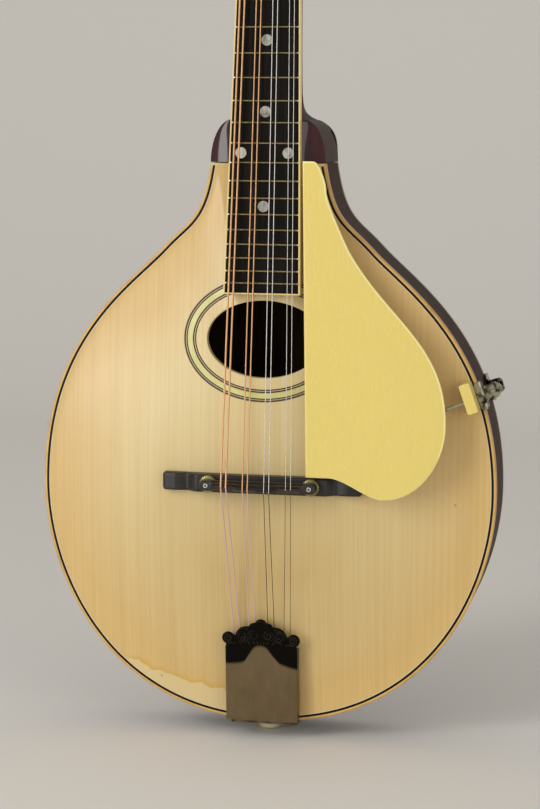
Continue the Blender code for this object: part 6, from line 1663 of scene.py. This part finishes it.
class MANDOLIN_OT_clamp(bpy.types.Operator):
    """Builds the rim clamp: two bent jaws and the knurled screw"""

    bl_idname = "mandolin.clamp"
    bl_label = "Clamp"

    def execute(self, context):
        place = clamp_frame()
        face = CLEAR + 0.0004
        middle = face + CLAMP_SHEET / 2
        out = face + CLAMP_SHEET + 0.0062 + 0.0014
        y = -CLEAR - CLAMP_SHEET / 2
        bend = 0.0006
        angle = np.linspace(0, math.pi / 2, 6)[1:-1, None]
        turn = np.concatenate([np.sin(angle), -np.cos(angle)], 1)
        first = (middle - bend, y + bend) + bend * turn
        wall = CLAMP_WALL - CLAMP_SHEET / 2
        second = (middle + bend, wall - bend) + bend * np.concatenate([-np.cos(angle), np.sin(angle)], 1)
        upper = np.concatenate([
            [(-CLAMP_LIP, y), (-CLAMP_LIP + 0.0008, y), (middle - bend, y)], first,
            np.linspace((middle, y + bend), (middle, wall - bend), 8), second,
            [(middle + bend, wall), (out - 0.0014, wall), (out - 0.0004, wall), (out, wall)],
        ])
        lower = upper * (1, -1) + (0, RIM_DEPTH)
        widths = np.interp(
            np.arange(len(upper)),
            [0, 1, 8, 10, 14, 17, 20, len(upper) - 3, len(upper) - 1],
            [0.0062, 0.0078, 0.0080, 0.0079, 0.0062, 0.0046, 0.0040, 0.0040, 0.0024],
        )
        for name, path, body in (
            ("clamp_upper_jaw", upper, ROOT),
            ("clamp_lower_jaw", lower, "clamp_jaw"),
        ):
            build(f"{name}_bent", [shell(self.strap(path, widths))], ("corroded",), (name,),
                  body=body, matrix=place, sharp=50)
        self.screw(place, face + CLAMP_SHEET + 0.0031 + 0.0014)
        return {"FINISHED"}

    def strap(self, path, widths):
        """A bent strip: at each point of its path, a thin rounded section as wide as asked."""
        along = np.gradient(path, axis=0)
        along /= np.linalg.norm(along, axis=1)[:, None]
        normal = np.stack([-along[:, 1], along[:, 0]], -1)
        half = CLAMP_SHEET / 2
        rim = np.array([(-1, 0.6), (-0.6, 1), (0.6, 1), (1, 0.6)])
        rim = np.concatenate([rim, -rim])
        edge = widths[:, None] - 0.0003 * (1 - np.abs(rim[None, :, 1]))
        offset = path[:, None] + half * rim[None, :, :1] * normal[:, None]
        z = np.sign(rim[None, :, 1]) * edge
        return np.stack([offset[..., 0], offset[..., 1], z], -1)

    def screw(self, place, x):
        """The nut's radius dips at its knurls and its ends are chamfered; the rod is threaded."""
        start, length, radius = CLAMP_WALL + CLEAR, 0.0080, 0.0040
        lay = place @ Matrix.Translation((x, 0, 0)) @ Matrix.Rotation(-math.pi / 2, 4, "X")
        angle = np.linspace(0, math.tau, 160, endpoint=False)
        knurl = 0.5 - 0.5 * np.clip(np.cos(angle * 20) * 2.0, -1, 1)
        rows = []
        for reach, height, depth in (
            (0, 0, 0), (0.0030, 0, 0), (radius - 0.0004, 0, 0.3), (radius, 0.0006, 1), (radius, 0.0024, 1),
            (radius - 0.0007, 0.0028, 0), (radius - 0.0007, 0.0036, 0), (radius, 0.0040, 1),
            (radius, length - 0.0006, 1), (radius - 0.0005, length, 0.3), (0.0028, length, 0), (0, length, 0),
        ):
            far = reach - 0.00045 * knurl * depth
            far = np.broadcast_to(np.maximum(far, 0), angle.shape)
            rows.append(woven(far * np.cos(angle), far * np.sin(angle), start + height))
        pitch = 0.0005
        low, high = CLAMP_WALL - 0.0030, RIM_DEPTH - CLAMP_WALL + 0.0040
        height = np.arange(low, high, pitch / 4)
        reach = 0.0012 - 0.00013 * (0.5 + 0.5 * np.cos(height / pitch * math.tau))
        rod = [(0, low), (0.0008, low), *zip(reach, height), (0.0008, high), (0, high)]
        shells = [shell(rows, capped=False), shell(turned(rod, 20), 1, capped=False)]
        build("clamp_screw_knurled", shells, ("corroded", "nickel"),
              ("clamp_screw",), body="clamp_screw", matrix=lay)


class MANDOLIN_OT_tuners(bpy.types.Operator):
    """Builds the tuner plates, worm keys and string posts"""

    bl_idname = "mandolin.tuners"
    bl_label = "Tuners"

    def execute(self, context):
        spots = string_spots()
        worm_y = PLATE_BACK + WORM_LIFT
        gap = GEAR_RADIUS + WORM_RADIUS
        for side, name in ((-1, "bass"), (1, "treble")):
            rows = [z for s, _, _, _, z in spots if s == side]
            self.plate(name, side * TUNER_ROW, rows, worm_y, gap)
        worm = self.worm()
        for side, _, _, label, z in spots:
            centre = HEAD_FRAME @ Matrix.Translation((side * TUNER_ROW, 0, z))
            phase = math.pi / 2 + (0 if side > 0 else math.pi / GEAR_TEETH)
            self.post(label, centre, phase + math.pi + math.pi / GEAR_TEETH)
            place = centre @ Matrix.Translation((0, worm_y, -gap))
            if side < 0:
                place = place @ Matrix.Rotation(math.pi, 4, "Y")
            build(f"tuner_key_{label}_fine", worm, ("nickel", "button"),
                  (f"tuner_key_{label}",), body=f"key_{label}", matrix=place)
        return {"FINISHED"}

    def worm(self):
        """The key along X: a thread whose radius is a rounded trapezoid of x over the pitch
        less the turn, a turned stem, and a button that is a flattened ball."""
        half = GEAR_PITCH * WORM_TURNS / 2
        x = np.linspace(-half, half, 90)[:, None]
        turn = np.linspace(0, math.tau, 40, endpoint=False)[None]
        phase = (x / GEAR_PITCH + 0.5 - turn / math.tau + 0.5) % 1 - 0.5
        tooth = np.clip((1.5 - np.abs(phase) / (TOOTH_SHARE / 2)) / 0.9, 0, 1)
        tooth = tooth * tooth * (3 - 2 * tooth)
        root = WORM_RADIUS - TOOTH_HEIGHT / 2 - 0.0002
        reach = root + TOOTH_HEIGHT * tooth
        grid = woven(x, reach * np.sin(turn), -reach * np.cos(turn))
        ends = [np.concatenate([grid[:1, :, :1], 0 * grid[:1, :, 1:]], -1),
                np.concatenate([grid[-1:, :, :1], 0 * grid[-1:, :, 1:]], -1)]
        thread = shell(np.concatenate([ends[0], grid, ends[1]]), capped=False)
        lay = Matrix.Rotation(math.pi / 2, 4, "Y")
        stem = [(0, -0.0050), (0.0010, -0.0050), (0.0012, -0.0048), (0.0012, 0.0078), (0.0016, 0.0082),
                (0.0016, 0.0092), (0.0012, 0.0096), (0.0013, 0.0112), (0.0021, 0.0122), (0.0030, 0.0134),
                (0.0027, 0.0150), (0, 0.0150)]
        stem = shell(turned(stem, 24, lay), capped=False)
        angle = np.linspace(0, math.pi, 26)[:, None]
        around = np.linspace(0, math.tau, 40, endpoint=False)[None]
        length = 0.0100
        bulge = np.sin(angle) ** 0.72
        grid = np.stack([
            0.0110 + length / 2 * (1 - np.cos(angle)) + 0 * around,
            0.0026 * bulge * np.sign(np.cos(around)) * np.abs(np.cos(around)) ** 0.8,
            0.0075 * bulge * np.sign(np.sin(around)) * np.abs(np.sin(around)) ** 0.9,
        ], -1)
        return [thread, stem, shell(grid, 1, capped=False)]

    def post(self, label, centre, twist):
        """A post turned about Y with a ferrule, and its wheel: a toothed outline slanted
        through its width, under a slotted screw."""
        front = -VENEER_THICKNESS - CLEAR - POST_HEIGHT
        gear = PLATE_BACK + WORM_LIFT - GEAR_WIDTH / 2
        spin = Matrix.Rotation(-math.pi / 2, 4, "X")
        radius = POST_RADIUS
        shaft = [(0, front), (radius - 0.0012, front), (radius - 0.0004, front + 0.0002),
                 (radius, front + 0.0007), (radius, front + 0.0036), (radius - 0.0001, front + 0.0050),
                 (radius - 0.0001, front + 0.0074), (radius, front + 0.0088), (radius, gear + 0.0004),
                 (0, gear + 0.0004)]
        shells = [shell(turned(shaft, 32, spin), capped=False)]
        lead = math.atan(GEAR_PITCH / (math.tau * WORM_RADIUS))
        slant = math.tan(lead) * GEAR_WIDTH / GEAR_RADIUS
        step = math.tau / GEAR_TEETH
        share = np.linspace(-0.5, 0.5, 14, endpoint=False)
        tooth = np.clip((1.5 * TOOTH_SHARE / 2 - np.abs(share)) / (0.9 * TOOTH_SHARE / 2), 0, 1)
        turn = (np.arange(GEAR_TEETH)[:, None] + share[None]).ravel() * step + twist
        reach = GEAR_RADIUS - TOOTH_HEIGHT / 2 + TOOTH_HEIGHT * np.tile(tooth, GEAR_TEETH)
        rows = []
        for level, far in ((0, 0.55), (0, 0.85), (0.04, 0.97), (0.12, 1), (0.5, 1), (0.88, 1), (0.96, 0.97),
                           (1, 0.85), (1, 0.5)):
            angle = turn - (level - 0.5) * slant
            r = reach * far
            rows.append(woven(r * np.cos(angle), gear + level * GEAR_WIDTH, r * np.sin(angle)))
        shells.append(shell(rows, 1))
        top = gear + GEAR_WIDTH
        for side in (-1, 1):
            arc = np.radians(np.linspace(8, 172, 15))
            half = np.stack([0.0021 * np.cos(arc), side * 0.0021 * np.sin(arc)], -1)
            head = ((top - 0.0002, 0), (top + 0.0005, 0), (top + 0.0008, 0.0003), (top + 0.0008, 0.0006))
            shells.append(slab(half, head))
        build(f"tuner_post_{label}_fine", shells, ("nickel", "brass"),
              (f"tuner_post_{label}",), body=f"post_{label}", matrix=centre)
        face = -VENEER_THICKNESS - CLEAR
        ferrule = [(radius + 0.0001, face + 0.0003), (0.0048, face + 0.0003), (0.0048, face - 0.0003),
                   (0.0043, face - 0.0007), (0.0036, face - 0.0009), (radius + 0.0001, face - 0.0009)]
        build(f"tuner_ferrule_{label}", [shell(turned(ferrule, 36, spin), wrap_rows=True)],
              ("nickel",), (), matrix=centre)

    def plate(self, name, x, rows, worm_y, gap):
        """A back plate with rounded ends, a pair of ears to each worm, and its small screws."""
        low, high = min(rows) - 0.0110 - gap / 2, max(rows) + 0.0110
        front = HEAD_THICKNESS + TOUCH
        plan = rounded(0.0140, high - low, 0.0035, 8) + (x, (low + high) / 2)
        shells = [slab(plan, sheet_levels(front, front + 0.0010 + CLEAR, 0.0002))]
        inner = 0.5 * GEAR_PITCH * WORM_TURNS + CLEAR
        ear = rounded(0.0052, 0.0052 + 0.0036, 0.0022, 6)
        for z in rows:
            for way in (-1, 1):
                near = x + way * (inner + 0.00055)
                grid = []
                for off, shrink in ((-0.00055, 0.03), (-0.0004, 0), (0.0004, 0), (0.00055, 0.03)):
                    loop = ear * (1 - shrink)
                    grid.append(woven(near + off, worm_y - 0.0018 + loop[:, 1], z - gap + loop[:, 0]))
                shells.append(shell(grid))
        for z in (low + 0.0035, *[0.5 * (a + b) + 0.0045 for a, b in zip(rows, rows[1:])], high - 0.0035):
            dome = ((0, 0), (0.0017, 0), (0.0017, 0.0002), (0.0013, 0.0006), (0.0006, 0.0008), (0, 0.0008))
            lay = Matrix.Translation((x, front + 0.0012, z)) @ Matrix.Rotation(-math.pi / 2, 4, "X")
            shells.append(shell(turned(dome, 24, lay), capped=False))
        build(f"tuner_plate_{name}_cut", shells, ("nickel",), (f"tuner_plate_{name}",),
              matrix=HEAD_FRAME)


class MANDOLIN_OT_strings(bpy.types.Operator):
    """Builds the eight strings, each in a part to the tailpiece and a part to its post"""

    bl_idname = "mandolin.strings"
    bl_label = "Strings"

    def execute(self, context):
        hook_z = TAIL_Z - CLEAR + TAIL_BASE_LENGTH - 2 * HOOK_SIZE
        share = 1 - 2 * HOOK_SIZE / TAIL_BASE_LENGTH
        hook_y = TOP_Y - TAIL_BASE_THICKNESS - CLEAR - share * (TAIL_RISE - CLEAR)
        for side, course, string, label, place in string_spots():
            radius = STRING_DIAMETERS[course] / 2
            across = string - 0.5
            nut_x = NUT_COURSES[course] + across * NUT_PAIR
            bridge_x = BRIDGE_COURSES[course] + across * BRIDGE_PAIR
            tail_x = TAIL_COURSES[course] + across * TAIL_PAIR
            contact, bridge_z = saddle_top(course)
            saddle = np.array([bridge_x, contact - radius, bridge_z])
            hook = np.array([tail_x, hook_y - CLEAR - radius, hook_z])
            nut = placed([nut_x, -NUT_ACTION - radius, 0], NECK_FRAME)
            tail = self.tail_path(hook, saddle, radius)
            wound = course < 2
            cover = ("silk", "silk", "dark steel", "dark steel")[course]
            rear = self.tube(f"string_{label}_tail", tail, radius * 0.8, cover)
            main = self.head_path(side, place, radius, nut_x, saddle, nut)
            front = self.tube(f"string_{label}_main", main, radius, "bronze" if wound else "steel")
            for piece in (rear, front):
                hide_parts(f"string_{label}")
            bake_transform(rear)
            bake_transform(front)
        return {"FINISHED"}

    def tail_path(self, hook, saddle, radius):
        """A loop round the hook, a short twist, and a straight run to the saddle."""
        angle = np.radians(np.linspace(-60, -300, 18))
        reach = HOOK_SIZE / 2 + 0.0003 + radius
        loop = np.stack([reach * 1.15 * np.sin(angle), 0 * angle, -reach * 1.15 * np.cos(angle)], -1)
        loop = hook + loop
        neck = hook + (0, 0, 2.6 * reach)
        run = saddle - neck
        straight = neck + run * np.linspace(0, 1, 34)[:, None]
        return np.concatenate([loop[:-1], straight])

    def head_path(self, side, place, radius, nut_x, saddle, nut):
        """Straight from the saddle to the nut, over it to the post, and a helix of two turns
        round the post that ends in its hole."""
        run = nut - saddle
        straight = saddle + run * np.linspace(0, 1, 60)[:, None]
        over = placed([nut_x, -NUT_ACTION - radius + 0.0001, 0.4 * NUT_THICKNESS], NECK_FRAME)
        hole = -VENEER_THICKNESS - CLEAR - STRING_HOLE_HEIGHT
        pitch = 2 * radius + 0.0005
        around = POST_RADIUS + 0.00008 + radius
        t = np.linspace(0, 2, 57)
        turn = t * math.tau
        centre = side * TUNER_ROW
        coil = np.stack([
            centre - side * around * np.cos(turn), hole - pitch * (2 - t), place + around * np.sin(turn)
        ], -1)
        tip = [(centre + side * 0.6 * POST_RADIUS, hole, place)]
        last = placed(np.concatenate([coil, tip]), HEAD_FRAME)
        lead = over + (last[0] - over) * np.linspace(0, 1, 14)[:-1, None]
        return np.concatenate([straight, lead, last])

    def tube(self, name, path, radius, look):
        """A round wire along a path, with a map of its turn and its length in millimetres."""
        sides = 12
        grid = sweep(path, ring(sides, radius), (0, 1, 0))
        points, faces, _ = shell(grid)
        mesh = bpy.data.meshes.new(name)
        mesh.from_pydata(points, [], faces)
        length = np.concatenate([[0], np.cumsum(np.linalg.norm(np.diff(path, axis=0), axis=1))]) * 1000
        i, j = np.meshgrid(np.arange(len(path) - 1), np.arange(sides), indexing="ij")
        u = np.stack([j, j + 1, j + 1, j], -1) / sides
        v = length[np.stack([i, i, i + 1, i + 1], -1)]
        ends = np.zeros((2 * sides, 2))
        uv = np.concatenate([np.stack([u, v], -1).reshape(-1, 2), ends])
        layer = mesh.uv_layers.new(name="along")
        layer.data.foreach_set("uv", uv.astype(np.float32).ravel())
        bm = bmesh.new()
        bm.from_mesh(mesh)
        bmesh.ops.recalc_face_normals(bm, faces=bm.faces)
        bm.to_mesh(mesh)
        bm.free()
        mesh.materials.append(finish(look))
        mesh.shade_smooth()
        mesh.set_sharp_from_angle(angle=math.radians(60))
        obj = bpy.data.objects.new(name, mesh)
        bpy.context.scene.collection.objects.link(obj)
        return obj


class MANDOLIN_OT_stage(bpy.types.Operator):
    """Sets the pale sweep, the soft lights and the camera"""

    bl_idname = "mandolin.stage"
    bl_label = "Studio"

    def execute(self, context):
        scene = context.scene
        floor_z = CAD_BOX[0][2] - 0.0005
        angle = np.linspace(0, math.pi / 2, 24)
        y = np.concatenate([[-4.0, 0.6], 1.2 + 0.9 * np.sin(angle), [2.1]])
        z = np.concatenate([[0, 0], 0.9 * (1 - np.cos(angle)), [3.4]]) + floor_z
        x = np.linspace(-4, 4, 9)
        grid = woven(x[None], y[:, None], z[:, None])
        points, faces, _ = shell(grid, wrap_columns=False, capped=False)
        mesh = bpy.data.meshes.new("sweep")
        mesh.from_pydata(points, [], faces)
        mesh.shade_smooth()
        sweep_obj = bpy.data.objects.new("studio_sweep", mesh)
        scene.collection.objects.link(sweep_obj)
        material, tree, shader = blank("matt studio paper")
        fibre = uneven(tree, (900, 900, 900), 2)
        # Seen from behind, the sweep doesn't hide the instrument.
        facing = node(tree, "NewGeometry", out="Backfacing")
        fill(shader, {
            "Base Color": node(tree, "ValToRGB", {0: fibre}, ((0.3, "#e6e3de"), (0.7, "#e8e5e0"))),
            "Roughness": 0.85,
            "Alpha": node(tree, "Math", {0: 1.0, 1: facing}, operation="SUBTRACT"),
        })
        mesh.materials.append(material)
        self.lights(scene)
        self.camera(scene)
        scene.view_settings.view_transform = "Standard"
        return {"FINISHED"}

    def lights(self, scene):
        """Two soft boxes and an even sky."""
        aim = np.array([0.0, 0.0, -0.33])
        for name, place, width, height, power in (
            ("key softbox", (-1.20, -1.50, 0.25), 0.7, 1.8, 22.0),
            ("fill softbox", (1.5, -1.3, -0.1), 1.2, 1.4, 8.0),
        ):
            data = bpy.data.lights.new(name, "AREA")
            data.shape = "RECTANGLE"
            data.size, data.size_y = width, height
            data.energy = power
            lamp = bpy.data.objects.new(name, data)
            scene.collection.objects.link(lamp)
            back = np.array(place) - aim
            back /= np.linalg.norm(back)
            right = np.cross((0, 0, 1), back)
            right /= np.linalg.norm(right)
            up = np.cross(back, right)
            matrix = np.eye(4)
            matrix[:3, 0], matrix[:3, 1], matrix[:3, 2], matrix[:3, 3] = right, up, back, place
            lamp.matrix_world = Matrix(matrix.tolist())
        world = bpy.data.worlds.new("studio")
        scene.world = world
        world.use_nodes = True
        ground = world.node_tree.nodes["Background"]
        ground.inputs["Color"].default_value = linear("#f4f1ec")
        ground.inputs["Strength"].default_value = 0.55

    def camera(self, scene):
        """The photograph's view: yaw, pitch and roll about the viewpoint, with a long lens."""
        yaw, pitch, roll = VIEW_YAW, VIEW_PITCH, VIEW_ROLL
        level = math.cos(pitch)
        view = np.array([-math.sin(yaw) * level, math.cos(yaw) * level, -math.sin(pitch)])
        right = np.array([math.cos(yaw), math.sin(yaw), 0])
        down = np.cross(view, right)
        across = math.cos(roll) * right + math.sin(roll) * down
        below = -math.sin(roll) * right + math.cos(roll) * down
        matrix = np.eye(4)
        matrix[:3, 0], matrix[:3, 1], matrix[:3, 2] = across, -below, -view
        matrix[:3, 3] = VIEWPOINT
        data = bpy.data.cameras.new("camera")
        data.sensor_fit = "AUTO"
        data.sensor_width = 36.0
        data.lens = data.sensor_width * FOCAL_LENGTH / FRAME_HEIGHT
        data.clip_start = 0.01
        data.clip_end = 20.0
        camera = bpy.data.objects.new("camera", data)
        scene.collection.objects.link(camera)
        camera.matrix_world = Matrix(matrix.tolist())
        scene.camera = camera


OPERATORS = (
    MANDOLIN_OT_stage,
    MANDOLIN_OT_top,
    MANDOLIN_OT_edges,
    MANDOLIN_OT_sides,
    MANDOLIN_OT_inside,
    MANDOLIN_OT_neck,
    MANDOLIN_OT_fingerboard,
    MANDOLIN_OT_bridge,
    MANDOLIN_OT_tailpiece,
    MANDOLIN_OT_guard,
    MANDOLIN_OT_clamp,
    MANDOLIN_OT_tuners,
    MANDOLIN_OT_strings,
)


class MANDOLIN_PT_panel(bpy.types.Panel):
    """Lists the settings and the builders"""

    bl_idname = "MANDOLIN_PT_panel"
    bl_label = "Mandolin"
    bl_space_type = "VIEW_3D"
    bl_region_type = "UI"
    bl_category = "Mandolin"

    def draw(self, context):
        for group in (context.scene.mandolin_looks, context.scene.mandolin_sizes):
            box = self.layout.box()
            for key in group.bl_rna.properties.keys():
                if key not in {"rna_type", "name"}:
                    box.prop(group, key)
        for item in OPERATORS:
            self.layout.operator(item.bl_idname)


CLASSES = (MandolinLooks, MandolinSizes, *OPERATORS, MANDOLIN_PT_panel)


def register():
    for item in CLASSES:
        bpy.utils.register_class(item)
    bpy.types.Scene.mandolin_looks = bpy.props.PointerProperty(type=MandolinLooks)
    bpy.types.Scene.mandolin_sizes = bpy.props.PointerProperty(type=MandolinSizes)


def unregister():
    del bpy.types.Scene.mandolin_sizes
    del bpy.types.Scene.mandolin_looks
    for item in reversed(CLASSES):
        bpy.utils.unregister_class(item)


def main():
    register()
    for item in OPERATORS:
        group, name = item.bl_idname.split(".")
        getattr(getattr(bpy.ops, group), name)()
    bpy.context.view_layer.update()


if __name__ == "__main__":
    main()
